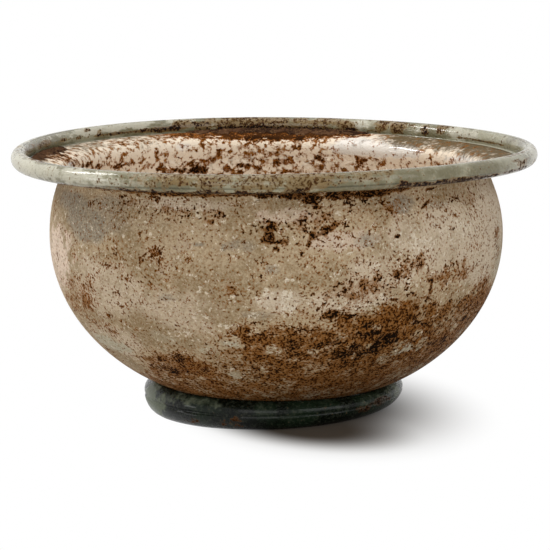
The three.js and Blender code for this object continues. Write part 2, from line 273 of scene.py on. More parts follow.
# Soil on the outside of the wall: degrees round the bowl, height, half sizes in degrees and mm,
# how densely it covers, how dark it is, and its slant in degrees per mm where it has one
WALL_SOIL = [
    # broad areas
    (290, 60, 13, 8, 0.62, 0.6), (302, 68, 10, 6, 0.7, 0.4), (330, 43, 18, 13, 0.88, 0.45), (300, 49, 15, 5, 0.98, 0.4),
    (271, 42, 13, 6, 0.9, 0.4), (240, 29, 13, 5, 0.8, 0.4), (211, 55, 9, 7, 0.55, 0.0), (205, 47, 10, 5, 0.5, 0.0),
    (215, 41, 8, 3, 0.6, 0.0), (285, 88, 20, 3, 0.35, 0.4), (250, 89, 12, 3, 0.45, 0.5), (272, 84, 11, 4, 0.5, 0.6),
    (233, 90, 7, 4, 0.5, 0.4), (320, 89, 14, 3, 0.4, 0.2), (228, 70, 8, 6, 0.42, 0.0), (262, 60, 6, 4, 0.5, 0.2),
    (318, 62, 9, 5, 0.62, 0.2), (342, 68, 5, 9, 0.5, 0.0), (255, 33, 10, 4, 0.62, 0.2),
    # the band under the rim and its tongues
    (268, 96, 5, 1.4, 1.3, 1.2), (275, 95.6, 6, 1.9, 1.3, 1.2), (279.5, 94.4, 3, 2.6, 1.3, 1.1),
    (286, 95.2, 6, 1.9, 1.25, 1.1), (294, 95, 6, 2.0, 1.3, 1.1), (301, 95.6, 4, 1.4, 1.15, 1.0),
    (280.4, 90.8, 1.4, 0.9, 1.2, 1.0), (279, 88.6, 1.8, 0.35, 1.1, 0.8), (288.6, 92, 1.5, 1.6, 1.15, 0.9),
    (293, 91.8, 1.5, 1.5, 1.05, 0.7), (297, 91.4, 2.2, 1.2, 0.95, 0.4), (288, 89, 1, 1, 0.95, 0.6), (313, 94.4, 1.7, 0.6, 1.3, 1.1),
    (235.3, 94.7, 0.9, 0.9, 1.2, 1.0), (230.5, 93.8, 1.3, 0.9, 1.1, 0.7), (239.5, 93.8, 2.6, 1.4, 1.05, 0.5),
    (248, 93.6, 2, 1, 0.75, 0.3), (261, 92.5, 1.4, 1.3, 0.85, 0.3), (225, 95.2, 4, 0.5, 1.0, 0.6), (248, 96.0, 24, 1.1, 1.15, 0.8),
    # upper left
    (221.5, 90, 0.7, 0.8, 1.38, 0.63), (218.5, 89, 2, 1.5, 0.78, 0.18), (223, 91.7, 1.6, 0.6, 0.83, 0.23), (223, 88.6, 0.9, 0.5, 0.92, 0.27),
    (226.5, 88.3, 1.6, 0.7, 1.06, 0.36), (227.5, 93, 1.5, 0.7, 0.87, 0.27), (228, 90, 0.5, 0.6, 1.01, 0.41),
    (214.5, 83, 0.9, 0.9, 0.74, 0), (227.5, 82, 0.9, 0.7, 0.87, 0.09), (238.5, 84.4, 0.8, 0.7, 1.01, 0.23),
    (235.7, 79.6, 0.9, 2.2, 1.06, 0.14), (238.4, 79, 0.9, 2, 0.87, 0.09), (237, 81.3, 1.6, 0.7, 0.78, 0.09),
    (240.4, 72.6, 2.6, 3.8, 0.95, 0.25), (240.8, 75.6, 1.2, 1.2, 0.92, 0.27), (236, 71, 1.1, 1.5, 1.0, 0.2),
    (228, 71.8, 0.9, 2.6, 0.87, 0.14), (227.6, 76.3, 2.2, 1.3, 0.78, 0.05), (229.5, 69.5, 1.2, 1.2, 0.74, 0.09),
    (221, 70.8, 0.7, 0.9, 1.01, 0.23), (224.7, 67.3, 1.5, 1, 1.01, 0.23), (228, 66, 2, 1, 0.78, 0.09),
    (231, 62.6, 1.8, 2, 0.83, 0.09), (238.4, 61.8, 0.7, 1.2, 1.01, 0.23), (235, 62.3, 0.5, 0.5, 0.92, 0.18),
    (217.8, 60.6, 1.4, 0.8, 1.01, 0.23), (220.5, 62.8, 0.9, 3, 0.87, 0.05, 1.1), (218, 58.4, 1.2, 1.4, 0.87, 0.09),
    (210.4, 59.6, 1.5, 1.2, 0.83, 0.14), (212.5, 56, 3, 2, 0.78, 0.05), (213, 52.6, 3.5, 1.4, 0.83, 0.09),
    (216.5, 52.5, 1.2, 1.4, 0.87, 0), (208.5, 52, 1, 0.8, 0.83, 0.18), (207, 57, 4, 1, 0.69, 0.05), (202.5, 59, 1, 0.8, 0.74, 0.14),
    (226.8, 56.4, 1.3, 1.3, 1.1, 0.27), (231.5, 53.5, 1.5, 0.8, 1.1, 0.27), (229.7, 52, 1, 1, 0.83, 0.14),
    (227.3, 50.8, 1.3, 0.8, 0.87, 0.18), (235, 54.2, 0.7, 1, 1.01, 0.23), (221.3, 46.8, 1.3, 1.8, 0.97, 0.09),
    (214, 47.5, 2, 1.8, 0.69, 0), (208, 42.5, 1.6, 1.4, 0.83, 0.05), (226.5, 44.5, 1.6, 1, 0.83, 0.14),
    (231, 42.5, 2.6, 1.6, 0.87, 0.09), (232.8, 42.7, 0.8, 0.8, 1.06, 0.18), (228.4, 39.6, 0.9, 0.8, 0.87, 0.27),
    (206.5, 37.5, 2, 2.6, 0.69, 0.05), (237, 37, 2, 1.2, 0.69, 0.05), (210.4, 68.8, 1.2, 1.9, 0.92, 0.09),
    (203, 72, 1, 1.1, 0.83, 0.14), (206, 76, 1, 0.5, 0.74, 0.05), (193, 84, 3, 3, 0.64, 0), (206, 92, 1.4, 0.5, 0.74, 0),
    (214.5, 67, 2, 1.6, 0.55, 0), (198.5, 56, 2, 1, 0.64, 0.05), (198, 49, 3, 1, 0.74, 0.05),
    # upper middle
    (248.7, 88, 2, 0.9, 1.05, 0.6), (254.8, 86, 1.0, 1.1, 1.35, 1.1), (252, 87, 0.8, 0.6, 1.0, 0.8),
    (257.5, 88.6, 2, 1.1, 1.1, 0.8), (260.5, 89.8, 1.5, 0.7, 1.0, 0.6), (264, 88.5, 0.7, 0.7, 0.95, 0.7), (262.4, 91, 0.5, 0.6, 1.0, 0.7),
    (262.5, 82.6, 1.0, 1.0, 1.0, 0.6), (262.5, 79.7, 0.7, 0.6, 1.0, 0.4), (268, 80.3, 1.9, 3.0, 1.4, 1.2),
    (269, 84.6, 1.0, 1.5, 1.2, 1.0), (268.4, 87.2, 0.8, 1.5, 1.0, 0.7), (270.9, 79.2, 1.3, 1.0, 1.3, 1.2),
    (272.4, 78.7, 0.7, 0.7, 1.3, 1.2), (266.8, 78.6, 1.2, 1.0, 1.35, 1.0), (271.2, 83, 1.3, 1.3, 1.0, 0.6),
    (273.5, 83.4, 0.7, 1.3, 1.05, 0.8), (269.8, 76.2, 0.9, 0.6, 1.2, 1.1), (275, 77.3, 1.4, 0.6, 1.15, 1.0),
    (275.7, 75.4, 0.6, 0.7, 1.1, 0.9), (277.2, 78.2, 0.6, 0.8, 1.2, 1.1), (278.3, 81, 0.9, 0.9, 1.4, 1.3),
    (276.6, 83, 1.2, 1.4, 1.1, 0.8), (277, 86, 1.2, 1.2, 0.95, 0.8), (280.8, 81.6, 0.9, 0.6, 1.3, 1.2),
    (282.5, 83.4, 1.8, 0.9, 1.2, 1.0), (284.2, 84.6, 1.1, 0.7, 1.2, 1.0), (287.2, 84, 1.6, 0.9, 1.0, 0.7),
    (284.3, 80, 1.0, 0.4, 1.0, 0.7), (271, 89.5, 0.4, 0.6, 1.0, 0.8), (248.7, 80.8, 1.3, 0.6, 0.85, 0.3),
    (248.5, 72.5, 1.2, 1.4, 0.85, 0.1), (250, 71.2, 0.5, 1.1, 1.1, 0.6), (246, 69, 1, 1.2, 0.8, 0.0),
    (254.6, 70.5, 1.1, 0.5, 1.15, 0.6), (259.6, 73.6, 1.0, 0.4, 1.1, 0.6), (264, 66, 1.1, 0.8, 1.25, 0.8),
    (266.3, 66.5, 0.6, 0.6, 1.0, 0.6), (270, 65, 0.5, 0.5, 1.0, 0.5), (266.4, 72, 1.4, 0.6, 0.85, 0.4),
    (270.7, 71, 0.8, 0.8, 0.85, 0.4), (276.5, 69.4, 0.5, 0.8, 1.05, 0.6), (259.5, 64.6, 0.4, 1.8, 1.0, 0.4, 0.5),
    # upper right
    (286.5, 85, 2, 1.4, 1.0, 0.6), (293.2, 82.4, 1.5, 1.4, 0.9, 0.4), (298, 88.4, 1.2, 0.7, 0.9, 0.3),
    (299.8, 79, 0.8, 0.7, 1.7, 1.6), (308, 91.3, 0.8, 0.6, 1.35, 1.3), (310.4, 89.3, 0.8, 2.2, 1.35, 1.1, 1.15),
    (304.3, 85.5, 0.3, 0.7, 1.0, 0.8), (320.5, 89.6, 3, 1.2, 1.05, 0.5), (322.6, 91.5, 1.6, 0.6, 0.9, 0.5),
    (330, 89.6, 1.6, 1, 0.9, 0.3), (334.5, 92.8, 1.2, 1, 0.9, 0.4), (336, 88.1, 1.4, 1, 0.95, 0.3), (341.5, 92, 3, 0.4, 1.0, 0.4),
    (318, 79, 1.3, 0.8, 1.3, 0.8), (313.5, 79.7, 1.3, 0.4, 0.75, 0.1), (326, 82.7, 1, 1, 0.7, 0.0), (320, 83.4, 1, 0.7, 0.8, 0.1),
    (295.6, 71.8, 0.35, 1.5, 1.4, 1.4, -0.45), (298, 71, 2, 1.1, 0.9, 0.3), (301, 69, 2.6, 2.6, 0.98, 0.2),
    (305.5, 69, 1.5, 1.5, 1.15, 0.5), (308, 69.2, 1.2, 1.4, 1.05, 0.5), (299.5, 65, 1.3, 1.5, 1.25, 1.0),
    (297.4, 63.2, 1.2, 0.6, 1.3, 1.2), (301.3, 63.4, 0.9, 0.9, 1.3, 1.3), (302.6, 61, 1, 1, 1.1, 0.6),
    (297, 67.5, 1.2, 1, 1.05, 0.6), (294.5, 63.5, 0.6, 0.6, 1.1, 0.9), (311.5, 71, 1.6, 0.8, 0.9, 0.2), (310.2, 67, 0.5, 0.5, 1.3, 1.1),
    (310, 59, 0.5, 2.8, 1.4, 1.3, -0.08), (316.5, 66, 1.5, 1.4, 1.0, 0.3), (317.5, 63.5, 1, 1, 1.0, 0.3),
    (318.6, 61, 1.5, 1.2, 1.0, 0.4), (315, 60, 0.6, 0.6, 1.1, 1.0), (323.5, 61, 1.6, 0.8, 0.9, 0.2),
    (327.5, 71, 3, 1.1, 0.8, 0.1), (329, 69.7, 1.1, 0.8, 0.98, 0.2), (322.5, 71.4, 1.6, 0.4, 0.8, 0.1),
    (335.5, 55.5, 3, 1, 0.95, 0.0), (343, 68, 2.5, 3, 0.8, 0.0), (341, 60, 1.5, 1.5, 0.85, 0.0), (339.5, 65.5, 1.2, 1, 0.8, 0.1),
    (286.5, 60.6, 2, 1.4, 1.05, 0.7), (281, 66, 2, 1, 0.75, 0.5), (285.6, 64, 1.5, 1.5, 0.8, 0.5), (276.2, 62.4, 1.5, 1, 0.8, 0.4),
    (280.5, 61.4, 1, 1, 0.85, 0.4), (284.6, 58.6, 1, 1, 0.9, 0.5), (274.6, 54.6, 0.8, 0.8, 1.0, 0.4), (279.6, 54, 0.9, 1, 1.0, 0.6),
    # lower middle
    (282.6, 51.4, 1.8, 2.5, 1.3, 1.1), (281, 55.5, 1, 0.8, 1.0, 0.6), (288, 50.6, 4, 1.4, 1.2, 0.6), (297, 52, 3, 2, 1.0, 0.3),
    (298.5, 54.6, 1.5, 1.5, 1.1, 0.5), (295, 54.5, 0.8, 0.8, 1.1, 0.8), (303.6, 56.6, 2, 1.4, 1.15, 0.6), (308.5, 53, 2.4, 1.5, 1.1, 0.6),
    (263.6, 44.4, 2, 1.3, 1.2, 0.8), (264, 42.5, 4, 3, 1.1, 0.4), (260.6, 40.8, 1.5, 2.4, 1.0, 0.3), (262, 38.5, 2, 1.5, 1.0, 0.3),
    (258, 44, 2, 1, 0.85, 0.1), (265, 48, 1.8, 1, 0.9, 0.6), (272, 47, 1.4, 1, 1.05, 0.7), (275.6, 45, 3, 2.4, 1.15, 0.6),
    (273, 41, 1.4, 0.9, 1.35, 1.1), (274.5, 38.5, 2.5, 2.4, 1.3, 1.0), (275, 35, 1.5, 2, 1.35, 1.3), (278.5, 34.2, 1.3, 0.6, 1.3, 1.3),
    (280.5, 39, 1.0, 1.5, 1.2, 1.1, 0.8), (284.5, 39.5, 3, 1.2, 1.35, 1.2), (265.5, 34.5, 1, 1.4, 1.15, 0.7),
    (268.6, 30.6, 2.2, 0.9, 1.15, 0.8), (263.6, 28.7, 1.9, 1, 1.25, 1.0), (270, 28, 2.5, 0.9, 1.1, 0.6), (258.6, 30.5, 1.3, 0.9, 1.2, 0.8),
    (252.5, 30, 1.1, 1.2, 1.2, 0.9), (248.5, 30.6, 1, 1, 1.05, 0.5), (247.6, 27, 2.4, 1.2, 1.2, 0.8), (253.6, 39, 1, 1.2, 0.8, 0.4),
    (245, 34.5, 1, 0.7, 1.0, 0.5), (246, 37.5, 0.8, 0.6, 0.9, 0.5),
    # lower left
    (241, 32, 2.4, 2, 1.05, 0.9), (238, 31, 2, 1.4, 1.0, 0.7), (232.6, 30, 2.6, 1.4, 1.1, 0.6), (231, 26.5, 5, 1.6, 1.1, 0.7),
    (237, 25, 5, 1.2, 1.25, 0.9), (240, 27.5, 2, 1.4, 1.1, 0.6), (228.5, 25, 3, 1.4, 1.0, 0.5), (206.5, 28.5, 2.5, 2, 0.9, 0.1),
    (224, 29.5, 1.5, 0.8, 0.85, 0.5), (222.5, 34, 0.8, 1, 0.75, 0.0),
    # lower right
    (293, 46, 1.5, 1.4, 1.3, 1.2), (291, 43.6, 1.1, 0.8, 1.4, 1.4), (299.5, 39.8, 4.4, 3.0, 1.5, 1.5, 0.3), (296, 35.5, 4.6, 3.4, 1.45, 1.4, 0.6),
    (302.5, 38.6, 2, 1.8, 1.5, 1.5, 0.6), (290.5, 37, 2.2, 1.6, 1.4, 1.4), (287, 34.5, 4, 3, 1.25, 1.0), (289, 30, 5, 3, 1.15, 0.7),
    (294.5, 42.5, 3.4, 1.4, 1.35, 1.2), (307.5, 46, 2.4, 2, 1.2, 0.9), (311, 43, 1.8, 1.8, 1.2, 0.7), (303.8, 34.3, 1.2, 0.5, 1.3, 1.3, -0.8),
    (309, 36.6, 1.2, 0.9, 0.95, 0.6), (314.8, 39.3, 1.3, 0.5, 1.25, 1.0), (309.6, 31, 1.4, 0.5, 1.2, 0.7), (314.4, 28.3, 2, 1.2, 1.25, 0.9),
    (330.5, 41.4, 1.9, 1.5, 1.45, 1.4), (325.5, 34, 2.4, 1.9, 1.4, 1.3), (333, 35.5, 3.6, 1, 1.25, 1.0), (334.6, 39.7, 1.4, 0.8, 1.2, 1.2),
    (333, 46, 1.6, 0.8, 1.15, 1.0), (318.6, 51.2, 1.3, 1.2, 1.3, 1.0), (320, 34, 3, 1.4, 1.15, 0.9), (343, 40, 3, 1, 1.15, 0.8),
    (327, 46, 2.5, 1, 1.05, 0.7, -1.0), (322, 44, 2, 1, 1.05, 0.5, -1.0),
    # the back, which the photograph doesn't show
    (40, 40, 30, 14, 0.85, 0.5), (110, 80, 25, 7, 0.7, 0.6), (150, 35, 20, 9, 0.8, 0.4), (70, 66, 10, 6, 0.75, 0.4),
    (15, 78, 10, 6, 0.6, 0.3), (130, 55, 12, 6, 0.65, 0.3), (170, 70, 9, 7, 0.5, 0.0), (45, 45, 9, 4, 1.2, 1.0, 0.5),
    (30, 36, 12, 3, 1.2, 1.1, 0.4), (105, 83, 8, 2, 1.2, 1.1), (118, 78, 4, 3, 1.3, 1.0), (75, 90, 14, 2.5, 1.1, 0.8),
    (150, 38, 8, 3, 1.1, 0.7), (66, 67, 3, 3, 1.2, 0.8), (95, 48, 10, 3, 0.9, 0.3), (15, 60, 6, 4, 0.8, 0.2),
    (135, 92, 14, 2, 1.1, 0.8), (5, 44, 8, 6, 0.9, 0.5), (60, 30, 14, 4, 1.15, 0.8), (178, 44, 6, 4, 0.8, 0.2),
]
# Where the brown soil of the underside ends: degrees round the bowl, height
SOIL_LINE = [
    (0, 46), (60, 40), (130, 44), (180, 34), (192, 25), (214, 22), (225, 26), (232, 30), (240, 34), (248, 32),
    (256, 34), (262, 44), (270, 47), (280, 48), (288, 52), (296, 54), (306, 52), (314, 53), (322, 50), (333, 54), (345, 49),
]
# Places that the soil leaves free, in the same way, with how much of it is gone
WALL_BARE = [
    (271, 94.2, 1.4, 0.7, 1.0), (282, 93.2, 1.6, 0.6, 0.8), (295.6, 45.3, 1.5, 1.2, 0.9), (295, 37.5, 0.8, 0.9, 0.9),
    (309.5, 39.5, 2.4, 2.0, 0.75), (308, 33.5, 3.4, 2.0, 0.8), (313.6, 34.5, 2.2, 2.6, 0.7), (305.5, 36.5, 1.4, 2.4, 0.7, 0.6),
    (322, 53.6, 3.4, 1.6, 0.5), (331, 52.5, 3.4, 1.4, 0.5), (326, 38.4, 2.2, 1.3, 0.6), (318, 57.5, 3, 1, 0.4),
    (258, 39.5, 2.0, 1.6, 0.8), (247, 35.5, 3, 1.6, 0.4), (256.5, 25.6, 1.8, 1.6, 0.7), (262, 24, 3, 1, 0.4), (244, 22.6, 2.4, 1, 0.4),
    (268, 37.5, 1.6, 1.6, 0.5), (279, 36.5, 1.6, 1.2, 0.6), (281.5, 46.5, 1.6, 1.4, 0.4), (275.5, 48.5, 1.6, 0.8, 0.5),
    (233.5, 27.8, 2.2, 0.9, 0.6), (240, 24, 2.0, 0.8, 0.4), (302, 29.5, 3, 2, 0.35), (320, 39, 2.2, 1.4, 0.4), (338, 32, 2, 1, 0.4),
]
# Cooler grey patches, grey green glass, cream, white and pink film, in the same way, with how strong
WALL_COOL = [
    (209, 88, 12, 4.5, 0.8), (214, 83, 11, 6, 0.8), (218, 78, 7, 4.5, 0.75), (226, 84, 9, 7, 0.45), (226, 90, 9, 4, 0.5),
    (236, 86, 7, 6, 0.3), (302.5, 87.8, 2.6, 1.2, 0.9), (303, 90, 4.5, 3.5, 0.62), (314, 88.6, 5, 1.8, 0.55), (251.6, 78, 1.6, 0.9, 0.85),
    (257.4, 77, 1.0, 1.0, 0.85), (255, 75.8, 0.8, 0.7, 0.8), (262, 78, 4, 2.4, 0.55), (265, 51.5, 4.5, 1.8, 0.5), (292, 78.5, 4, 3, 0.5),
    (269, 69, 2.4, 2.0, 0.5), (243, 57, 3, 1.4, 0.5), (70, 82, 18, 8, 0.8), (155, 80, 12, 9, 0.7), (120, 40, 14, 8, 0.6),
]
WALL_GREEN = [
    (213, 33, 9, 3.6, 0.95), (309, 33.6, 6, 3, 0.75), (258, 39.4, 3, 2, 0.7), (256.6, 25.4, 2.4, 2, 0.75), (309.5, 39.5, 3, 2.4, 0.5),
    (344, 64, 6, 14, 0.6), (283, 14, 5, 2, 0.6), (238, 40, 5, 3, 0.5), (250, 36, 5, 2.4, 0.45), (60, 52, 12, 6, 0.7),
]
WALL_CREAM = [
    (222, 58, 17, 13, 0.55), (246, 52, 12, 10, 0.45), (216, 36, 14, 8, 0.6), (318, 76, 26, 15, 0.7), (338, 76, 14, 18, 1.0), (288, 56, 14, 5, 0.7), (270, 57, 7, 5, 0.75), (248, 92, 14, 3, 0.6),
    (296, 66, 12, 8, 0.65), (330, 62, 12, 8, 0.7), (20, 60, 26, 16, 0.7), (120, 66, 24, 12, 0.6),
]
WALL_PALE = [
    (272, 57, 2.4, 4, 1.25), (272.5, 53, 2, 1.6, 1.0), (267, 58.5, 4, 3, 0.6), (263, 51, 2.6, 1.4, 0.85), (288, 55, 2.6, 1.5, 1.25),
    (286, 53.6, 2.4, 1, 1.0), (301.6, 63.6, 3, 1.8, 1.1), (306.5, 67.5, 2.4, 1.2, 1.35), (293.8, 69, 1.6, 1.4, 1.1), (305, 75, 7, 4, 0.75),
    (294, 56.4, 3.4, 2, 0.8), (313, 63, 3, 2, 0.65), (320, 78, 8, 4, 0.6), (254, 59.4, 1, 1, 1.2), (221.5, 74.5, 1.1, 0.9, 1.5),
    (258, 47, 3, 1.4, 0.9), (245.5, 43, 3, 1.4, 0.9), (248, 49, 1.6, 2, 0.75), (247, 91, 9, 2, 0.75), (272, 65.5, 1.6, 1, 0.7),
    (215, 69, 2, 0.9, 0.8), (304, 59, 3, 2, 0.7), (233.6, 27.6, 2, 0.8, 0.8), (316, 59, 2.4, 0.8, 0.8), (222, 71.6, 1.4, 1, 0.6),
    (20, 60, 20, 10, 0.6), (95, 58, 16, 9, 0.6), (150, 62, 14, 8, 0.5), (180, 50, 14, 9, 0.5), (60, 47, 3, 2, 1.2), (110, 70, 4, 2, 1.2),
]
WALL_PINK = [(200, 66, 9, 12, 1.0), (186, 60, 12, 16, 0.8), (203, 88, 3, 2, 0.4), (286, 79, 9, 4, 0.42), (272, 88, 8, 3, 0.5), (5, 85, 12, 8, 0.5)]
INNER_SOIL = [
    (100, 91, 32, 7, 0.46, 0.2), (30, 90, 12, 3.5, 0.4, 0.1), (150, 93, 14, 5, 0.5, 0.2), (48, 90, 2.2, 1.2, 0.9, 0.3),
    (40, 91, 3, 1.6, 0.75, 0.2), (27, 94, 3.5, 2, 0.8, 0.3), (53, 88, 2, 1.4, 0.75, 0.2), (58.5, 89.5, 2, 2.2, 1.0, 0.5),
    (64, 89.5, 2.6, 3.2, 1.2, 0.4), (65, 86.5, 1.2, 1.2, 1.1, 0.5), (70, 88, 1.6, 1.4, 0.95, 0.3), (71.5, 94, 1, 2, 0.9, 0.3),
    (76, 89.5, 2.0, 2.2, 1.45, 1.2), (81, 91, 1.4, 1.2, 1.25, 0.9), (77, 84.6, 1.4, 1.8, 1.2, 0.8), (79, 87.5, 1.5, 1.2, 0.9, 0.4),
    (87, 87.5, 3, 1.6, 1.25, 0.9), (90.5, 91, 2.6, 2.0, 1.0, 0.4), (91.5, 87.5, 1.2, 1.4, 1.2, 0.8), (93.5, 89, 1, 1.4, 0.9, 0.3),
    (98.6, 86.2, 2.2, 1.1, 1.4, 1.0), (103, 85, 1.6, 1.8, 1.4, 1.0), (94.5, 85, 1.4, 1.0, 1.1, 0.6), (85, 83.5, 2, 1, 1.1, 0.6),
    (98, 83.5, 2, 1, 0.9, 0.4), (112, 84.8, 5, 1.5, 1.5, 1.5), (117, 85.4, 2.4, 1.0, 1.45, 1.4), (108.5, 89, 3, 2.2, 1.05, 0.5),
    (113, 87.4, 3, 1.2, 1.0, 0.5), (118.6, 90.8, 0.8, 1.8, 1.25, 0.9), (123.5, 86.6, 2.6, 1.2, 1.2, 0.6), (127, 87, 1.6, 0.8, 1.0, 0.4),
    (121, 84.4, 2, 0.8, 1.1, 0.8), (135.5, 90, 1.8, 1.3, 1.3, 0.8), (139, 89.6, 2, 1.2, 1.35, 0.9), (148, 91, 4, 1.4, 1.4, 1.0),
    (156, 93, 5, 1.6, 1.4, 1.0), (163, 95.4, 4, 1.6, 1.35, 1.0), (82, 95.5, 1.6, 3, 1.2, 0.8), (78, 97, 2, 1.6, 1.0, 0.6),
    (93, 97, 8, 1.2, 1.1, 0.7), (106, 93.5, 2, 2, 0.85, 0.3), (97, 94, 2, 2, 0.85, 0.3), (87.5, 94.5, 2, 2, 0.85, 0.3),
    (125, 93, 3, 3, 0.8, 0.3), (116, 91, 2, 2, 0.8, 0.3), (22, 98, 12, 1.6, 0.7, 0.3), (35, 98.5, 8, 1.4, 0.75, 0.4),
    (130, 98.6, 14, 1.2, 0.9, 0.7), (165, 98, 10, 2, 1.1, 0.9),
    # the dark band beside the gutter
    (88, 99.3, 18, 3.0, 2.4, 0.5), (100, 99.8, 8, 3.0, 2.4, 0.5), (70, 99.6, 8, 1.4, 1.8, 0.5), (110, 99.4, 10, 1.5, 1.8, 0.5),
    # lower down, which the photograph doesn't show
    (90, 79, 46, 3, 0.95, 0.7), (150, 80, 14, 5, 0.8, 0.5), (230, 60, 40, 20, 0.5, 0.4), (320, 70, 30, 12, 0.55, 0.5),
    (30, 50, 30, 12, 0.5, 0.5), (90, 25, 180, 9, 0.6, 0.5), (180, 45, 30, 10, 0.5, 0.4),
]
INNER_CLEAN = [
    (57, 95.0, 17, 4.4, 1.1), (160, 95, 16, 1.6, 0.5), (18, 95, 16, 4, 0.8), (116, 95, 3, 2.6, 0.7), (270, 90, 40, 6, 0.5),
]
# Stains on the rim: degrees round the bowl, degrees round the bead, half sizes of both, cover, dark
RIM_SOIL = [
    # the front
    (264, 30, 26, 80, 0.8, 0.0), (250, 70, 14, 40, 0.8, 0.0), (285, 40, 12, 50, 0.66, 0.0),
    (258, 6, 1.6, 14, 1.2, 0.5), (260.5, 0, 1.6, 10, 1.0, 0.2), (281.5, 32, 1.2, 14, 1.1, 0.4), (283.5, 5, 1.2, 18, 1.1, 0.4),
    (270.5, 32, 0.8, 10, 1.1, 0.4), (291, 12, 1.0, 14, 1.0, 0.2), (279, 8, 1.0, 12, 1.0, 0.2), (268, 45, 1, 14, 0.95, 0.2),
    (276, 12, 3, 16, 0.85, 0.1), (247, 30, 0.8, 14, 0.9, 0.1), (266, -8, 2, 10, 0.9, 0.1), (296.5, -30, 1.4, 24, 1.3, 0.9),
    (301, -42, 6, 20, 1.7, 0.7), (309, -36, 6, 20, 1.7, 0.7), (318, -42, 7, 15, 1.6, 0.9),
    (331, -38, 5, 14, 1.2, 0.9), (338, -30, 5, 14, 1.2, 1.0), (337, 5, 4, 24, 0.95, 0.4), (332, 28, 2, 10, 1.05, 0.5),
    (339, 20, 2.5, 12, 1.0, 0.5), (335, 80, 9, 12, 0.95, 0.4), (210, 85, 5, 14, 0.9, 0.2), (206, 88, 3, 10, 1.0, 0.3),
    (257, -78, 23, 44, 1.7, 0.9), (305, -72, 12, 38, 1.7, 1.0), (287, -84, 9, 24, 1.3, 0.6), (230, -86, 12, 34, 1.5, 0.6),
    (345, -60, 12, 20, 1.2, 1.0),
    # the back
    (87, 150, 17, 75, 0.8, 0.0), (43, 135, 3, 65, 1.05, 0.2), (48, 160, 1.3, 45, 1.5, 1.2), (56, 140, 3.8, 65, 1.35, 0.3), (61.5, 140, 2.2, 65, 1.1, 0.2),
    (75, 140, 6, 65, 1.15, 0.1), (72, 150, 2, 50, 1.05, 0.2), (82, 160, 3, 40, 0.95, 0.1), (86.5, 145, 2, 60, 1.35, 0.4),
    (97, 140, 12, 75, 1.05, 0.05), (97, 180, 10, 20, 1.3, 0.4), (108, 165, 2.6, 35, 1.35, 0.7), (117, 182, 7, 22, 1.45, 1.0),
    (113, 160, 2.5, 32, 1.1, 0.3), (127.6, 163, 0.8, 14, 1.3, 1.0), (130, 184, 10, 12, 1.2, 1.0), (141.5, 130, 0.7, 14, 1.2, 0.9),
    (145.5, 176, 1.8, 14, 1.2, 0.8), (152, 172, 3, 16, 1.05, 0.5), (164, 165, 6, 24, 1.0, 0.3), (137, 155, 1, 20, 0.9, 0.2),
    (25, 188, 14, 8, 1.1, 0.8), (88, 195, 20, 16, 1.5, 1.3),
    # the rest, which the photograph hardly shows
    (350, -40, 14, 40, 0.6, 0.3), (190, 85, 16, 20, 0.5, 0.2), (178, 150, 14, 30, 0.7, 0.6), (5, 60, 14, 40, 0.55, 0.3),
    (90, 30, 30, 30, 0.75, 0.3), (150, 0, 15, 30, 0.65, 0.4), (60, -20, 14, 30, 0.75, 0.5), (120, -60, 30, 30, 0.95, 0.6),
]
RIM_PALE = [(214, 10, 30, 60, 0.9), (350, 20, 16, 70, 0.8), (133, 130, 26, 45, 0.9), (185, 60, 20, 80, 0.7), (67, 150, 2.6, 40, 0.8), (38, 150, 13, 60, 0.65)]
# Paler film on the foot, with painted light in it: a painted sheen at its left and right ends, and painted highlights
# on its top at the front left and front right, where the lamps fall
FOOT_FILM_AND_PAINTED_LIGHT = [
    (198, 60, 15, 60, 0.85), (215, 80, 8, 16, 0.6), (230, 86, 26, 13, 0.42), (345, 75, 16, 40, 0.6), (10, 50, 20, 50, 0.5), (330, 85, 14, 12, 0.5),
]
FOOT_SOIL = [
    (233, 25, 2.2, 10, 1.7, 0.2), (247, 30, 3, 14, 1.7, 0.3), (253, 40, 3, 12, 1.5, 0.3), (255, 15, 4, 8, 1.5, 0.3),
    (226, 20, 4, 8, 1.3, 0.3), (325, 60, 9, 20, 1.6, 1.6), (312, 45, 5, 14, 1.4, 1.5), (210, 10, 10, 5, 1.2, 0.1),
    (20, 50, 20, 30, 1.2, 0.5), (110, 30, 30, 30, 1.2, 0.5), (160, 60, 15, 25, 1.1, 0.3),
]


def patch_sum(patches, angle, height, ragged, value=4):
    """How strongly patches reach each place. Where patches meet, the stronger one counts."""
    total = np.zeros(len(angle))
    plain = min(len(patch) for patch in patches)
    for patch in patches:
        slant = patch[-1] if len(patch) > plain else 0
        away_round = (angle - patch[0] + 180) % 360 - 180
        across = (away_round - slant * (height - patch[1])) / patch[2]
        up = (height - patch[1]) / patch[3]
        away = np.sqrt(across**2 + up**2) + ragged
        reach = 1 - np.clip((away - 0.55) / 0.75, 0, 1)
        total = np.maximum(total, patch[value] * reach * reach * (3 - 2 * reach))
    return total


def wander(points, size, seed):
    """Smooth uneven numbers between about -1 and 1 at each point."""
    offset = Vector((seed * 17.3, seed * 5.1, seed * 9.7))
    return np.array([noise.fractal(Vector(p) / size + offset, 0.6, 2.0, 4) for p in points])


def paint(mesh, name, values):
    layer = mesh.attributes.new(name, "FLOAT", "POINT")
    layer.data.foreach_set("value", np.asarray(values, np.float32))


